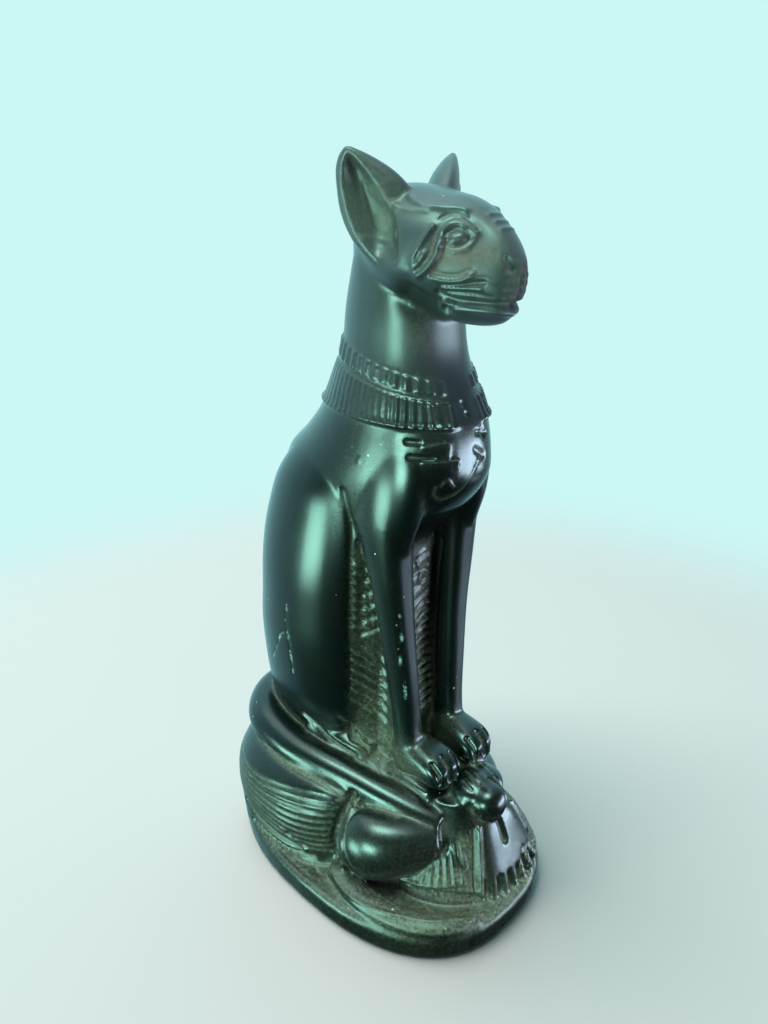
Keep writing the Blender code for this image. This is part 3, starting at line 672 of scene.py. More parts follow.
# The plinth stays plain up to this share of its height.
UNCARVED_SHARE = 0.7

# How deep the deepest hollows are, in metres, and over how many rounds of smoothing they are felt.
HOLLOW_DEPTH = 0.00016
HOLLOW_ROUNDS = 10

# The camera, in metres and degrees. Its lens is a share of its sensor.
CAMERA_PLACE = (-0.1042, -0.0989, 0.143)
CAMERA_YAW, CAMERA_PITCH, CAMERA_ROLL = 46.0, 22.4, 0.4
LENS_SHARE = 770 / 1024
SENSOR = 36.0
NEAREST_SEEN = 0.005

# How far the floor reaches, and from where to where it fades into the wall.
FLOOR_REACH = 3.0
FLOOR_FADE = (0.15, 0.26)

# The resin's two darks, a painted veil of light on its head, its rubbed edges, its dust, and its flecks,
# specks and chips.
GREEN_BLACK = (0.0006, 0.0030, 0.0028, 1)
BROWN_BLACK = (0.0040, 0.0036, 0.0024, 1)
PAINTED_VEIL_COLOUR = (0.066, 0.062, 0.070, 1)
RUBBED_EDGE = (0.07, 0.11, 0.10, 1)
DRY_DUST = (0.190, 0.150, 0.105, 1)
RUSTY_DUST = (0.230, 0.110, 0.070, 1)
FLECK = (0.50, 0.42, 0.26, 1)
SPECK = (0.62, 0.66, 0.58, 1)
CHIP = (0.55, 0.66, 0.62, 1)

# How fine the finish's noises are: how many of their grains go into a metre.
CLOUD_GRAINS = 34.0
SMEAR_GRAINS = 110.0
GRIT_GRAINS = 1500.0
SPECK_SPOTS = 420.0
SPECK_PATCHES = 75.0
FLECK_SPOTS = 1150.0
CHIP_PATCHES = 420.0
FLOOR_CLOUDS = 9.0

# The grit's relief, in metres and as a share, and how strongly the resin mirrors.
GRIT_DEPTH, GRIT_SHARE = 0.00004, 0.3
RESIN_IOR, RESIN_SHINE = 1.55, 0.6

# The floor, the wall behind the figure, and the room's light from its bright side to its dim one.
FLOOR_COLOURS = (0.55, 0.53, 0.50, 1), (0.53, 0.51, 0.48, 1)
PALE_WALL = (0.60, 0.93, 0.91, 1)
LIT_WALL = (0.66, 1.40, 1.50, 1)
DIM_ROOM = (0.006, 0.012, 0.012, 1)
BRIGHT_YAW = CAMERA_YAW - 20.0
BRIGHT_RISE = 0.35
BRIGHT_FROM, BRIGHT_TO = -0.1, 0.9

# The lights' tints, and the height that they look at.
MINT = (0.44, 1.0, 0.82)
LAVENDER = (0.60, 0.82, 1.0)
WHITE = (1.0, 1.0, 1.0)
SOFT_WHITE = (0.92, 1.0, 0.90)
LIT_HEIGHT = 0.07

# Each light: azimuth (0 is +Y, 90 is +X), elevation, distance, size in metres, power and tint.
FIGURE_LIGHTS = {
    "left_window": (-72, -14, 0.60, (0.23, 0.20), 2.3, MINT),
    "left_wall": (-102, 3, 0.60, (0.22, 0.18), 3.0, MINT),
    "high_left": (-118, 71, 0.60, (0.28, 0.18), 3.0, MINT),
    "right_window": (143, -6, 0.60, (0.50, 0.18), 4.4, LAVENDER),
    "right_low": (130, -29, 0.60, (0.36, 0.08), 0.15, LAVENDER),
    "ceiling": (-60, 82, 0.80, (0.90, 0.90), 3.2, SOFT_WHITE),
}
FLOOR_LIGHTS = {"above_floor": (-30, 65, 1.50, (1.20, 1.20), 30.0, WHITE)}


def wedge(tool, place, foot, head, width, depth):
    """A cut that narrows from its foot to its head."""
    foot, head = np.array(foot, float), np.array(head, float)
    for share in (0.0, 0.25, 0.5, 0.75):
        a, b = foot + share * (head - foot), foot + (share + 0.25) * (head - foot)
        tool.stroke(place, line(a, b), width * (1 - 0.8 * share), depth * (1 - 0.4 * share))


def carve_fine_head(tool):
    """Lids, painted-eye lines and beads, whisker creases, muzzle notches and the fur inside the ears."""
    face = partial(tool.strokes, cat_place)
    face(
        [(-7.3, -13.9, 139.5), (-6.2, -14.8, 140.2), (-5.2, -16.2, 140.5), (-4.7, -17.5, 139.7)],
        0.6, -0.3, 0.3,
    )
    face(
        [(-8.6, -15.2, 136.2), (-7.7, -15.6, 137.5), (-6.7, -16.6, 138.2), (-5.6, -18.2, 137.8)],
        0.6, -0.35,
    )
    face(
        [(-8.3, -15.8, 136.0), (-7.5, -16.9, 135.3), (-6.6, -18.2, 135.7), (-5.6, -18.9, 136.6)],
        0.5, -0.25,
    )
    face([(-7.2, -16.9, 136.6), (-6.6, -17.4, 136.8)], 2.0, 0.3)
    face([(-7.9, -15.0, 138.2), (-6.6, -16.0, 139.4), (-5.4, -17.4, 139.3), (-4.6, -19.0, 138.2)], 0.5, 0.2)
    face(
        [(-8.0, -15.2, 136.6), (-9.2, -14.7, 134.0), (-10.0, -13.6, 132.1), (-10.4, -12.3, 130.9)],
        0.7, 0.25,
    )
    face([(-8.4, -14.4, 136.8), (-9.5, -13.8, 134.4), (-10.2, -12.9, 132.5)], 0.6, -0.15)
    face(
        [(-8.3, -13.3, 138.3), (-9.9, -12.1, 135.6), (-10.6, -11.0, 133.2), (-10.5, -11.4, 131.4)],
        0.6, 0.25,
    )
    for bead in ((-10.1, -13.0, 134.2), (-10.5, -12.1, 132.8)):
        face([bead, (bead[0] - 0.1, bead[1] + 0.1, bead[2] - 0.3)], 1.3, 0.6)
    face(
        [(-9.4, -14.0, 131.4), (-8.4, -16.5, 130.9), (-7.2, -18.4, 131.1), (-6.2, -19.9, 132.0)],
        0.7, -0.25, 0.3,
    )
    face(
        [(-8.5, -15.4, 129.5), (-7.6, -17.7, 129.6), (-6.2, -19.9, 129.9), (-5.0, -21.7, 130.2)],
        0.6, -0.4,
    )
    face([(-6.3, -19.8, 130.6), (-5.1, -21.6, 130.8), (-4.0, -23.2, 130.0)], 0.5, 0.25)
    face(
        [(-8.1, -14.6, 128.6), (-7.4, -16.8, 128.5), (-5.8, -19.6, 128.4), (-3.7, -22.4, 127.9)],
        0.6, -0.35,
    )
    face([(-7.8, -16.0, 129.1), (-6.6, -18.8, 129.0), (-5.2, -21.2, 129.0)], 0.5, 0.25)
    face(
        [(-5.0, -14.3, 123.9), (-5.9, -13.6, 125.1), (-6.8, -14.6, 126.3), (-6.6, -16.6, 126.3)],
        0.7, 0.35,
    )
    face([(-5.9, -14.6, 125.0), (-6.1, -15.4, 125.2)], 1.3, -0.5)
    face([(-2.6, -24.0, 134.1), (-2.3, -24.5, 133.2), (-1.7, -24.8, 132.2)], 0.7, -0.4)
    for step in range(9):
        a, b = step / 8, 1 - step / 8
        top = (-10.6 * b - 8.6 * a, 0.2 * b - 5.2 * a, 144.8 * b + 140.2 * a)
        low = (-9.6 * b - 8.6 * a, -1.6 * b - 5.2 * a, 137.4 * b + 135.2 * a)
        face(line(top, low, (0, 0, 0.4)), 0.6, -0.22, 0.3)
    face([(-8.8, -6.6, 137.2), (-8.8, -6.3, 136.7)], 1.0, -0.4, 0.6)
    face(
        [(-10.6, -3.4, 144.4), (-8.9, -6.3, 141.3), (-8.6, -8.6, 140.8), (-7.8, -11.4, 140.6)],
        0.9, 0.2, 0.5,
    )
    for height in np.arange(126.8, 133.2, 1.3):
        reach = -25.2 + 0.14 * abs(height - 131.0)
        outer = (-2.6, reach + 0.9, height - 0.3)
        face([(-0.2, reach, height), (-1.3, reach + 0.2, height - 0.1), outer], 0.9, -0.12, 0.5)
    for y, z in ((-19.4, 140.2), (-20.8, 139.2), (-22.0, 138.1)):
        bump = [(-1.4, y + 0.3, z - 0.1), (0.2, y, z + 0.1), (1.8, y + 0.3, z - 0.1)]
        tool.stroke(cat_place, bump, 0.8, 0.2)


def carve_fine_body(tool):
    """Worn marks on the breast, the carved panels between the legs, toes, chips and scratches."""
    mark = partial(tool.stroke, cat_place)
    mark(line((-11.1, -11.0, 102.6), (-9.9, -12.9, 102.6)), 0.9, -0.35)
    mark(line((-11.0, -11.6, 99.9), (-8.2, -15.0, 99.8)), 0.8, -0.3)
    for rows in (
        [(-9.4, -13.6, 101.8), (-5.9, -16.1, 102.4), (-6.0, -16.4, 99.8)],
        [(-9.8, -13.8, 98.9), (-4.6, -17.2, 99.2), (-4.6, -17.3, 97.9)],
        [(-7.9, -15.4, 94.4), (-7.9, -15.0, 92.8), (-6.6, -15.6, 91.6)]
        + [(-4.3, -16.9, 92.6), (-2.6, -17.8, 94.6), (0.6, -18.2, 98.4)],
        [(-7.2, -15.9, 94.6), (-6.3, -16.7, 95.6), (-5.0, -17.0, 94.2)],
    ):
        mark(rows, 0.55, 0.22, 0.3)
    for step in range(5):
        x = -8.6 + 1.1 * step
        top = (x, -13.6 - 0.6 * step, 109.0)
        mark(line(top, (x - 0.6, top[1] - 1.2, 105.6)), 0.6, -0.2)
    for a, b, width in (
        ((0.8, -17.2, 103.3), (4.0, -17.2, 102.6), 0.9),
        ((2.8, -17.1, 103.8), (2.9, -17.4, 102.0), 0.8),
        ((0.0, -18.0, 100.3), (2.2, -18.0, 98.8), 1.5),
        ((-1.0, -15.9, 109.0), (-0.9, -15.9, 108.7), 0.9),
        ((-0.8, -16.3, 107.0), (-0.7, -16.3, 106.8), 0.7),
    ):
        mark(line(a, b), width, -0.35)
    body = partial(tool.strokes, cat_place)
    for row in range(8):
        z = 76.2 - 2.1 * row
        for step in range(3):
            x = -13.2 + (0.85 + 0.16 * row) * step
            y = 1.2 - 0.75 * step
            top, low = (x - 0.4, y + 0.2, z + 0.5), (x + 0.3, y - 0.2, z - 0.7 + 0.4 * (step % 2))
            body(line(top, low, (0.2, 0, 0)), 0.5, -0.25, 0.25)
        body(line((-13.4, 1.6, z - 1.1), (-11.0 + 0.14 * row, -0.3 - 0.1 * row, z - 1.7)), 0.45, 0.2, 0.5)
    for row in range(6):
        z = 56.0 - 2.5 * row
        front = -9.9 if row in (0, 5) else -8.1
        body(line((-12.9, 1.9, z), (front, -1.9, z - 4.6)), 0.9, -0.5)
        body(line((-12.9, 1.9, z - 1.2), (front, -1.9, z - 5.8)), 0.5, 0.25, 0.6)
    for row in range(3):
        x = -14.2 + 1.3 * row
        top = (x - 0.6, 4.4 - 0.6 * row, 36.6 - 1.0 * row)
        low = (x + 1.4, 1.2 - 0.6 * row, 31.8 - 0.8 * row)
        body(line(top, low), 0.9, -0.5, 0.3)
    for x, z, reach, turn in ((1.3, 73.4, 1.9, 0.0), (1.6, 69.2, 1.4, 2.2)):
        turns = np.linspace(turn, turn + 5.4, 9)
        ring = [(x + reach * math.cos(t), -4.9, z + 1.1 * reach * math.sin(t)) for t in turns]
        mark(ring, 0.7, 0.4, 0.3)
    for row in range(13):
        z = 63.0 - 2.1 * row
        lean = 1.2 if row < 6 else 0.4
        mark([(-1.4, -5.3, z - lean - 0.6), (1.6, -5.1, z + 0.2), (4.6, -4.9, z)], 0.8, -0.4)
        mark([(-1.4, -5.3, z - lean - 1.7), (1.6, -5.1, z - 0.9), (4.6, -4.9, z - 1.1)], 0.5, 0.22, 0.35)
    for rows in (
        [(-19.1, 15.0, 62.6), (-19.1, 15.7, 58.3), (-19.0, 15.2, 55.0)]
        + [(-18.9, 15.0, 54.0), (-18.2, 15.1, 45.5)],
        [(-19.0, 15.4, 56.0), (-19.0, 17.7, 54.4), (-18.3, 20.7, 49.2), (-17.5, 23.0, 45.7)],
        [(-11.0, -9.8, 67.3), (-10.7, -9.8, 65.4)],
        [(-10.4, -9.9, 62.4), (-10.2, -10.0, 61.2)],
        [(-10.6, -9.7, 59.0), (-10.4, -9.8, 55.6)],
        [(-9.6, -10.4, 50.1), (-9.4, -10.6, 47.2)],
    ):
        mark(line(*rows) if len(rows) < 3 else rows, 0.45, -0.08, chips=0.8)
    groove = [(-23.6, 21.0, 26.6), (-22.8, 9.6, 24.8), (-19.4, -3.9, 22.6), (-15.6, -14.0, 19.8)]
    mark(groove, 2.0, 0.0, 0.8)
    mark(line((-14.1, -2.0, 98.2), (-14.1, -2.0, 97.5)), 0.7, 0.1, chips=1.0)
    mark(line((-13.4, 1.0, 84.5), (-13.4, 1.0, 84.3)), 0.5, 0.1, chips=1.0)


def carve_fine_scarab(tool):
    """Fine lines on the wing cases, a barbed rim, soft strokes on the plate, teeth and a ringed knob."""
    beetle = partial(tool.strokes, scarab_place)
    for row in range(18):
        rear, front = 22.2 - 0.70 * row, 23.6 - 0.82 * row
        path = [(-12.0, 34.0, rear), (-21.0, 29.0, rear), (-25.0, 18.0, rear), (-19.4, -2.2, front)]
        beetle(path, 0.45, -0.08 if row % 2 else 0.05, 0.3)
    beetle([(-24.6, 22.6, 11.2), (-25.4, 13.0, 9.4), (-24.4, 6.6, 9.0), (-23.2, 3.2, 9.8)], 1.3, -0.5, 0.3)
    beetle([(-24.9, 6.6, 11.6), (-24.9, 6.2, 11.2)], 1.2, -0.7)
    for step in range(15):
        y = 24.0 - 1.7 * step
        beetle(line((-25.6, y, 6.9), (-25.2, y - 1.0, 5.9)), 0.5, -0.25, 0.4)
    beetle(
        [(-14.8, -3.8, 22.9), (-18.1, -4.2, 19.3), (-20.7, -5.0, 16.6),
         (-21.4, -6.1, 14.0), (-21.6, -7.5, 12.4)],
        0.6, -0.4, 0.2,
    )
    beetle(
        [(-14.6, -5.2, 22.6), (-18.4, -5.4, 19.4), (-21.0, -6.6, 16.0), (-21.6, -8.6, 12.8)],
        0.6, 0.25, 0.5,
    )
    for top, low in (
        ((-9.9, -23.2, 17.4), (-10.4, -23.8, 11.6)),
        ((-7.6, -23.0, 17.4), (-9.0, -25.0, 11.2)),
        ((-6.2, -24.0, 18.2), (-8.2, -26.4, 10.6)),
        ((-4.6, -25.2, 18.6), (-6.8, -27.6, 10.6)),
        ((-3.0, -26.4, 18.8), (-5.6, -29.2, 10.0)),
    ):
        beetle(line(top, low), 0.8, -0.2, middle=PLATE_MIDDLE)
    beetle([(-13.8, -17.7, 7.6), (-11.3, -23.4, 8.4), (-6.7, -29.3, 9.4)], 0.5, -0.3, middle=PLATE_MIDDLE)
    beetle([(-0.3, -27.9, 20.2), (-2.0, -29.9, 14.3), (-3.4, -31.9, 8.4)], 0.5, -0.25, middle=PLATE_MIDDLE)
    for step in range(20):
        turn = -0.30 - 0.90 * step / 19
        inner = (-21.4 * math.cos(turn), 29.4 * math.sin(turn), 8.4)
        outer = (-24.0 * math.cos(turn - 0.10), 34.2 * math.sin(turn - 0.10), 7.0)
        beetle(line(inner, outer), 0.55, -0.3, 0.4)
    beetle(
        [(-21.8, -3.6, 9.2), (-24.4, -8.4, 8.6), (-23.2, -17.6, 8.2),
         (-17.4, -27.6, 7.6), (-9.8, -33.4, 6.8)],
        0.7, 0.35,
    )
    for foot, head in (
        ((-2.9, -32.4, 6.6), (-2.0, -31.5, 11.2)),
        ((-0.3, -33.6, 6.6), (0.4, -32.2, 11.6)),
        ((2.8, -34.4, 6.6), (3.1, -32.7, 11.5)),
        ((5.9, -34.6, 6.4), (5.9, -32.8, 11.4)),
        ((8.8, -34.2, 6.4), (8.8, -32.7, 10.6)),
        ((11.6, -33.2, 6.4), (11.4, -32.5, 9.8)),
        ((14.4, -31.6, 6.4), (14.0, -31.0, 9.0)),
    ):
        foot, head = np.array(foot), np.array(head)
        wedge(tool, scarab_place, foot, foot + 0.62 * (head - foot), 1.6, -0.45)
    for rows in (
        [(5.2, -25.0, 27.8), (5.8, -27.0, 26.9), (5.4, -28.8, 25.2), (4.6, -29.6, 23.4)],
        [(6.8, -25.0, 27.2), (7.4, -26.6, 26.0), (7.2, -28.0, 24.2), (6.2, -28.9, 22.6)],
    ):
        tool.stroke(scarab_place, rows, 0.6, -0.35)


def in_cat_units(points):
    """From metres back to the cat's units."""
    return (points - cat_place(np.zeros(3))) / CAT_UNIT


def patch(*spans):
    """A soft patch, 1 at its middle. Each span has the points' values, its middle and its reach."""
    return np.exp(-sum(((values - middle) / reach) ** 2 for values, middle, reach in spans))


def dusting(points, normals, hollow):
    """How much dust lies on each point: in hollows, in rough panels, and on what faces up near the foot."""
    x, y, z = in_cat_units(points).T
    aside = abs(x)
    up = normals[:, 2]
    panel = step_up(-aside, -14.6, -12.0) * step_up(y, -7.0, -3.0) * step_up(-y, -4.0, -1.0)
    panel *= step_up(-z, -80, -77)
    front_panel = step_up(-aside, -4.9, -4.1) * step_up(y, -7.5, -6.3) * step_up(-z, -79, -76)
    front_panel *= (z > 36) * (y < 0)
    lap = patch((z, 30.0, 4.5)) * step_up(-abs(y + 5.0), -13.0, -7.0) * step_up(-aside, -15, -10)
    fringe = step_up(-z, -10.5, -7.5) * step_up(-y, 1.0, 9.0) * step_up(up, 0.1, 0.6)
    ledge = step_up(-z, -11.0, -8.0) * step_up(up, 0.3, 0.8)
    plate = step_up(-x, 5.2, 7.0) * step_up(-y, 17.5, 20.5) * step_up(-z, -21.0, -18.0)
    plate *= step_up(z, 6.0, 8.0) * np.maximum(step_up(-z, -14.0, -12.0), step_up(x, -9.5, -8.0))
    cheek = patch((aside, 7.4, 2.6), (y, -17.0, 4.2), (z, 133.6, 2.2))
    snout = patch((aside, 4.4, 2.2), (y, -21.8, 2.4), (z, 134.2, 2.2))
    throat = patch((aside, 5.0, 5.0), (y, -9.6, 3.0), (z, 120.6, 4.0))
    shoulder = patch((y, -1.6, 4.6), (z, 92.0, 13.0)) * (aside > 9)
    into_bowl = 0.75 * np.sign(x) * normals[:, 0] - 0.6 * normals[:, 1] - 0.2 * up
    ear = step_up(z, 135.0, 137.0) * step_up(y, -7.5, -6.0) * step_up(into_bowl, 0.35, 0.7)
    seams = np.clip(hollow * 1.2, 0, 1) * (0.25 + 0.75 * step_up(-z, -50.0, -24.0))
    foot = step_up(-z, -26.0, -20.0)
    whole = seams + 0.34 * panel + 0.6 * front_panel + 0.65 * lap + 0.6 * fringe + 0.45 * ledge
    whole += 0.75 * plate + 1.0 * cheek + 0.7 * snout + 0.15 * shoulder + 0.4 * throat + 0.4 * ear
    return np.clip(whole + 0.12 * foot, 0, 1)


def painted_veil_rust_and_matte(points):
    """How much painted veil of light lies on the head, lighter upwards and kept off the jaw where shade
    falls, how reddish the dust by the eyes, and how matte the muzzle's front.
    """
    x, y, z = in_cat_units(points).T
    # The jaw is left out of the painted veil of light, so it stays dark as painted shade.
    jaw = patch((abs(x), 8.0, 6.0), (y, -8.0, 6.0), (z, 126.0, 5.0))
    rust = step_up(-y, 9.0, 15.0) * step_up(y, -23.5, -20.5) * step_up(z, 128.5, 132.0)
    rust *= step_up(-z, -139.0, -136.5)
    matte = step_up(-y, 21.5, 24.0) * step_up(-z, -134.6, -132.6) * step_up(z, 124.6, 126.0)
    return step_up(z, 96.0, 128.0) * (1 - 0.9 * jaw) * (1 - 0.7 * matte), rust, matte


def neighbour_mean(values, ends, count):
    """Each point's mean over the points joined to it by an edge."""
    total = np.zeros_like(values)
    for a, b in (ends.T, ends.T[::-1]):
        for axis in range(values.shape[1]):
            total[:, axis] += np.bincount(a, values[b, axis], len(values))
    return total / count[:, None]


def hollows(mesh, points, normals):
    """How far each point lies in a hollow, above nothing, or on a ridge, below it, from -1 to 1."""
    ends = np.empty(len(mesh.edges) * 2, np.int32)
    mesh.edges.foreach_get("vertices", ends)
    ends = ends.reshape(-1, 2)
    count = np.maximum(np.bincount(ends.ravel(), minlength=len(points)), 1)
    soft = points.copy()
    for _ in range(HOLLOW_ROUNDS):
        soft = 0.5 * soft + 0.5 * neighbour_mean(soft, ends, count)
    depth = ((soft - points) * normals).sum(1)
    return np.clip(depth / HOLLOW_DEPTH, -1, 1)


def keep_amount(mesh, name, amounts):
    """Stores a number on each point, for the finish to read."""
    layer = mesh.attributes.new(name, "FLOAT", "POINT")
    layer.data.foreach_set("value", np.ascontiguousarray(amounts, np.float32))


def fine_figurine():
    """The whole casting with its fine carving, and how dusty and how worn each point is."""
    obj = bpy.data.objects.new("cat_casting", rough_mesh())
    bpy.context.scene.collection.objects.link(obj)
    fuse(obj, FINE_GRAIN)
    tool = Carver(obj)
    cat = in_cat_units(tool.points)
    carve_collar(tool, cat)
    carve_ears(tool, cat, tool.normals)
    carve_face(tool)
    carve_body(tool)
    carve_scarab(tool)
    carve_fine_head(tool)
    carve_fine_body(tool)
    carve_fine_scarab(tool)
    tool.moves[tool.points[:, 2] < UNCARVED_SHARE * PLINTH_HEIGHT] = 0
    tool.finish()
    mesh = obj.data
    points = np.clip(read_points(mesh), np.add(solid_low, BOX_MARGIN), np.subtract(solid_high, BOX_MARGIN))
    mesh.vertices.foreach_set("co", points.astype(np.float32).ravel())
    mesh.update()
    normals = read_points(mesh, "normal")
    hollow = hollows(mesh, points, normals)
    keep_amount(mesh, "dust", np.clip(dusting(points, normals, np.maximum(hollow, 0)) + tool.dust, 0, 1))
    keep_amount(mesh, "wear", np.clip(-hollow, 0, 1))
    keep_amount(mesh, "chips", tool.chips)
    # The painted veil of light on the head, the reddish dust by the eyes and the matte muzzle front.
    for name, amounts in zip(("painted_light_veil", "rust", "matte"), painted_veil_rust_and_matte(points)):
        keep_amount(mesh, name, amounts)
    count = sum(len(face.vertices) - 2 for face in mesh.polygons)
    if count > MOST_TRIANGLES:
        thin = obj.modifiers.new("facets", "DECIMATE")
        thin.ratio = MOST_TRIANGLES / count
        mesh = applied(obj)
    mesh.shade_smooth()
    return obj


class Shade:
    """A value on its way through a finish's nodes; arithmetic on it adds Math nodes."""

    def __init__(self, nodes, link):
        self.nodes, self.link = nodes, link

    def math(self, operation, *values):
        return self.nodes.add("ShaderNodeMath", {"operation": operation}, dict(enumerate(values)))

    def __add__(self, other):
        return self.math("ADD", self, other)

    def __sub__(self, other):
        return self.math("SUBTRACT", self, other)

    def __rsub__(self, other):
        return self.math("SUBTRACT", other, self)

    def __mul__(self, other):
        return self.math("MULTIPLY", self, other)

    __radd__, __rmul__ = __add__, __mul__

    def clipped(self):
        return self.math("MINIMUM", self.math("MAXIMUM", self, 0.0), 1.0)

    def over(self, low, high, kind="SMOOTHSTEP"):
        """From 0 at low to 1 at high, without corners unless its kind is LINEAR."""
        values = {"Value": self, "From Min": low, "From Max": high}
        return self.nodes.add("ShaderNodeMapRange", {"interpolation_type": kind}, values)


class Nodes:
    """The nodes of a finish or of the room, as they are added and joined."""

    def __init__(self, owner):
        owner.use_nodes = True
        self.tree = owner.node_tree

    def add(self, kind, settings=None, values=None, out=0):
        """A new node with its settings, then its sockets' values or links; gives back one output."""
        node = self.tree.nodes.new(kind)
        for key, value in (settings or {}).items():
            setattr(node, key, value)
        self.feed(node, values or {})
        return Shade(self, node.outputs[out])

    def feed(self, node, values):
        for key, value in values.items():
            if isinstance(value, Shade):
                self.tree.links.new(value.link, node.inputs[key])
            else:
                node.inputs[key].default_value = value

    def vector(self, operation, *values, out=0):
        return self.add("ShaderNodeVectorMath", {"operation": operation}, dict(enumerate(values)), out)

    def place(self, kind="Object"):
        return self.add("ShaderNodeTexCoord", out=kind)

    def noise(self, grains, detail, roughness=0.55, stretch=None):
        place = self.vector("MULTIPLY", self.place(), stretch) if stretch else self.place()
        values = {"Vector": place, "Scale": grains, "Detail": detail, "Roughness": roughness}
        return self.add("ShaderNodeTexNoise", {"noise_dimensions": "3D"}, values)

    def spots(self, scale):
        """How far it is to the nearest of scattered points."""
        return self.add("ShaderNodeTexVoronoi", {"feature": "F1"}, {"Vector": self.place(), "Scale": scale})

    def amount(self, name):
        """A number that the mesh keeps on its points."""
        return self.add("ShaderNodeAttribute", {"attribute_name": name}, out="Fac")

    def blend(self, share, low, high):
        """Two colours mixed; a Mix node has them at sockets 6 and 7, and gives out 2."""
        return self.add("ShaderNodeMix", {"data_type": "RGBA"}, {0: share, 6: low, 7: high}, 2)

    def mix_shaders(self, share, one, other):
        return self.add("ShaderNodeMixShader", {}, {0: share, 1: one, 2: other})


def new_finish(name):
    """A material, its nodes and its shader."""
    material = bpy.data.materials.new(name)
    nodes = Nodes(material)
    return material, nodes, nodes.tree.nodes["Principled BSDF"]


def resin_finish():
    """Satin black-green resin, browner in patches, with dust in hollows, rubbed edges, pale chips and a
    painted veil of light over the head.
    """
    material, nodes, shader = new_finish("black_green_resin")
    dust, wear, chips = nodes.amount("dust"), nodes.amount("wear"), nodes.amount("chips")
    cloud = nodes.noise(CLOUD_GRAINS, 3.0).over(0.35, 0.7)
    grit = nodes.noise(GRIT_GRAINS, 3.0, 0.7)
    smear = nodes.noise(SMEAR_GRAINS, 4.0, 0.6, (1.0, 1.0, 0.5))
    # A painted veil of light over the head, lighter upwards; it also makes the resin rougher.
    painted_light_veil = nodes.amount("painted_light_veil") * (0.5 + smear)
    dusty = (dust * (grit.over(0.34, 0.68) * 0.6 + 0.3) * (0.3 + 1.1 * smear)).clipped()
    speck = 1.0 - nodes.spots(SPECK_SPOTS).over(0.05, 0.11)
    specks = (speck * nodes.noise(SPECK_PATCHES, 1.0).over(0.60, 0.68)).clipped()
    fleck = 1.0 - nodes.spots(FLECK_SPOTS).over(0.10, 0.22)
    flecks = (dust * fleck * grit.over(0.47, 0.62) * (1.0 - 0.7 * painted_light_veil)).clipped()
    rubbed = (wear * grit.over(0.42, 0.62)).clipped()
    chipped = (chips * grit.over(0.40, 0.50) * nodes.noise(CHIP_PATCHES, 2.0).over(0.46, 0.60)).clipped()
    colour = GREEN_BLACK
    for share, layer in (
        (cloud, BROWN_BLACK),
        # The painted veil of light, lighter towards the top of the head.
        (painted_light_veil * 0.75, PAINTED_VEIL_COLOUR),
        (rubbed * 0.2, RUBBED_EDGE),
        (dusty, nodes.blend(nodes.amount("rust"), DRY_DUST, RUSTY_DUST)),
        (flecks * 0.7, FLECK),
        (specks, SPECK),
        (chipped, CHIP),
    ):
        colour = nodes.blend(share, colour, layer)
    rough = (0.22 + 0.08 * smear + 0.11 * painted_light_veil + 0.42 * dusty + 0.5 * nodes.amount("matte")).clipped()
    fine = nodes.add("ShaderNodeBump", {}, {"Height": grit, "Distance": GRIT_DEPTH, "Strength": GRIT_SHARE})
    nodes.feed(shader, {"Base Color": colour, "Roughness": rough, "Normal": fine})
    nodes.feed(shader, {"IOR": RESIN_IOR, "Specular IOR Level": RESIN_SHINE})
    return material


def floor_finish():
    """Pale and matt near the figure, fading into the wall's colour farther out."""
    material, nodes, shader = new_finish("pale_floor")
    away = nodes.vector("LENGTH", nodes.place(), out="Value")
    colour = nodes.blend(nodes.noise(FLOOR_CLOUDS, 2.0), *FLOOR_COLOURS)
    nodes.feed(shader, {"Base Color": colour, "Roughness": 0.8})
    wall = nodes.add("ShaderNodeEmission", {}, {"Color": PALE_WALL})
    both = nodes.mix_shaders(away.over(*FLOOR_FADE), Shade(nodes, shader.outputs[0]), wall)
    nodes.feed(nodes.tree.nodes["Material Output"], {"Surface": both})
    return material


def add_floor():
    """A pale floor that the figure stands on; it stays out of the figure's reflections."""
    mesh = bpy.data.meshes.new("floor")
    corners = [(FLOOR_REACH * x, FLOOR_REACH * y, 0) for x, y in ((-1, -1), (1, -1), (1, 1), (-1, 1))]
    mesh.from_pydata(corners, [], [(0, 1, 2, 3)])
    mesh.materials.append(floor_finish())
    floor = bpy.data.objects.new("floor", mesh)
    bpy.context.scene.collection.objects.link(floor)
    floor.visible_glossy = floor.visible_diffuse = floor.visible_shadow = False
    floor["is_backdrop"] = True
    return floor


def light_only(name, piece, lights):
    """Soft rectangular lights that look at the figure, with their light kept to one piece."""
    group = bpy.data.collections.new(name)
    group.objects.link(piece)
    for title, (azimuth, elevation, distance, size, power, tint) in lights.items():
        turn, rise = math.radians(azimuth), math.radians(elevation)
        level = math.cos(rise)
        towards = Vector((math.sin(turn) * level, math.cos(turn) * level, math.sin(rise)))
        light = bpy.data.lights.new(title, "AREA")
        light.shape = "RECTANGLE"
        light.size, light.size_y = size
        light.energy = power
        light.color = tint
        holder = bpy.data.objects.new(title, light)
        holder.location = Vector((0, 0, LIT_HEIGHT)) + towards * distance
        holder.rotation_euler = towards.to_track_quat("Z", "Y").to_euler()
        holder.light_linking.receiver_collection = group
        bpy.context.scene.collection.objects.link(holder)


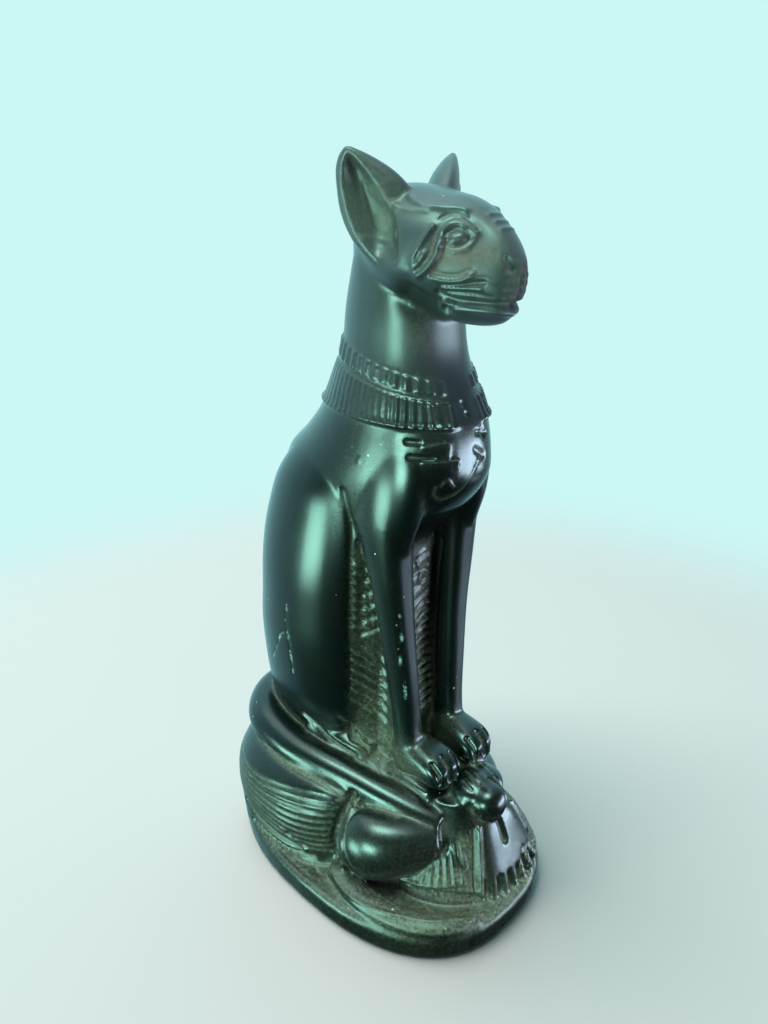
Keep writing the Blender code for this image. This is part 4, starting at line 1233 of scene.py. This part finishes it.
def add_world():
    """A pale wall to look at, and a room whose light comes mostly from beyond the figure."""
    world = bpy.data.worlds.new("studio")
    bpy.context.scene.world = world
    nodes = Nodes(world)
    background = nodes.tree.nodes["Background"]
    nodes.feed(background, {"Color": PALE_WALL})
    yaw = math.radians(BRIGHT_YAW)
    bright = (math.sin(yaw), math.cos(yaw), BRIGHT_RISE)
    glow = nodes.vector("DOT_PRODUCT", nodes.place("Generated"), bright, out="Value")
    room = nodes.blend(glow.over(BRIGHT_FROM, BRIGHT_TO, "LINEAR"), DIM_ROOM, LIT_WALL)
    lit = nodes.add("ShaderNodeBackground", {}, {"Color": room})
    seen = nodes.add("ShaderNodeLightPath", out="Is Camera Ray")
    both = nodes.mix_shaders(seen, lit, Shade(nodes, background.outputs[0]))
    nodes.feed(nodes.tree.nodes["World Output"], {"Surface": both})


def add_camera():
    """The camera at the photograph's angle."""
    yaw, pitch, roll = (math.radians(a) for a in (CAMERA_YAW, CAMERA_PITCH, CAMERA_ROLL))
    ahead = Vector((math.sin(yaw) * math.cos(pitch), math.cos(yaw) * math.cos(pitch), -math.sin(pitch)))
    level = Vector((math.cos(yaw), -math.sin(yaw), 0))
    above = level.cross(ahead)
    right = math.cos(roll) * level + math.sin(roll) * above
    up = -math.sin(roll) * level + math.cos(roll) * above
    camera = bpy.data.objects.new("camera", bpy.data.cameras.new("camera"))
    camera.data.sensor_width = SENSOR
    camera.data.lens = SENSOR * LENS_SHARE
    camera.data.clip_start = NEAREST_SEEN
    turned = Matrix((right, up, -ahead)).transposed().to_4x4()
    camera.matrix_world = Matrix.Translation(CAMERA_PLACE) @ turned
    bpy.context.scene.collection.objects.link(camera)
    bpy.context.scene.camera = camera
    bpy.context.scene.view_settings.view_transform = "Standard"


casting = fine_figurine()
casting.data.materials.clear()
casting.data.materials.append(resin_finish())
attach(casting, "root")
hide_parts("cat_figurine")
floor = add_floor()
light_only("lit_figure", casting, FIGURE_LIGHTS)
light_only("lit_floor", floor, FLOOR_LIGHTS)
add_world()
add_camera()
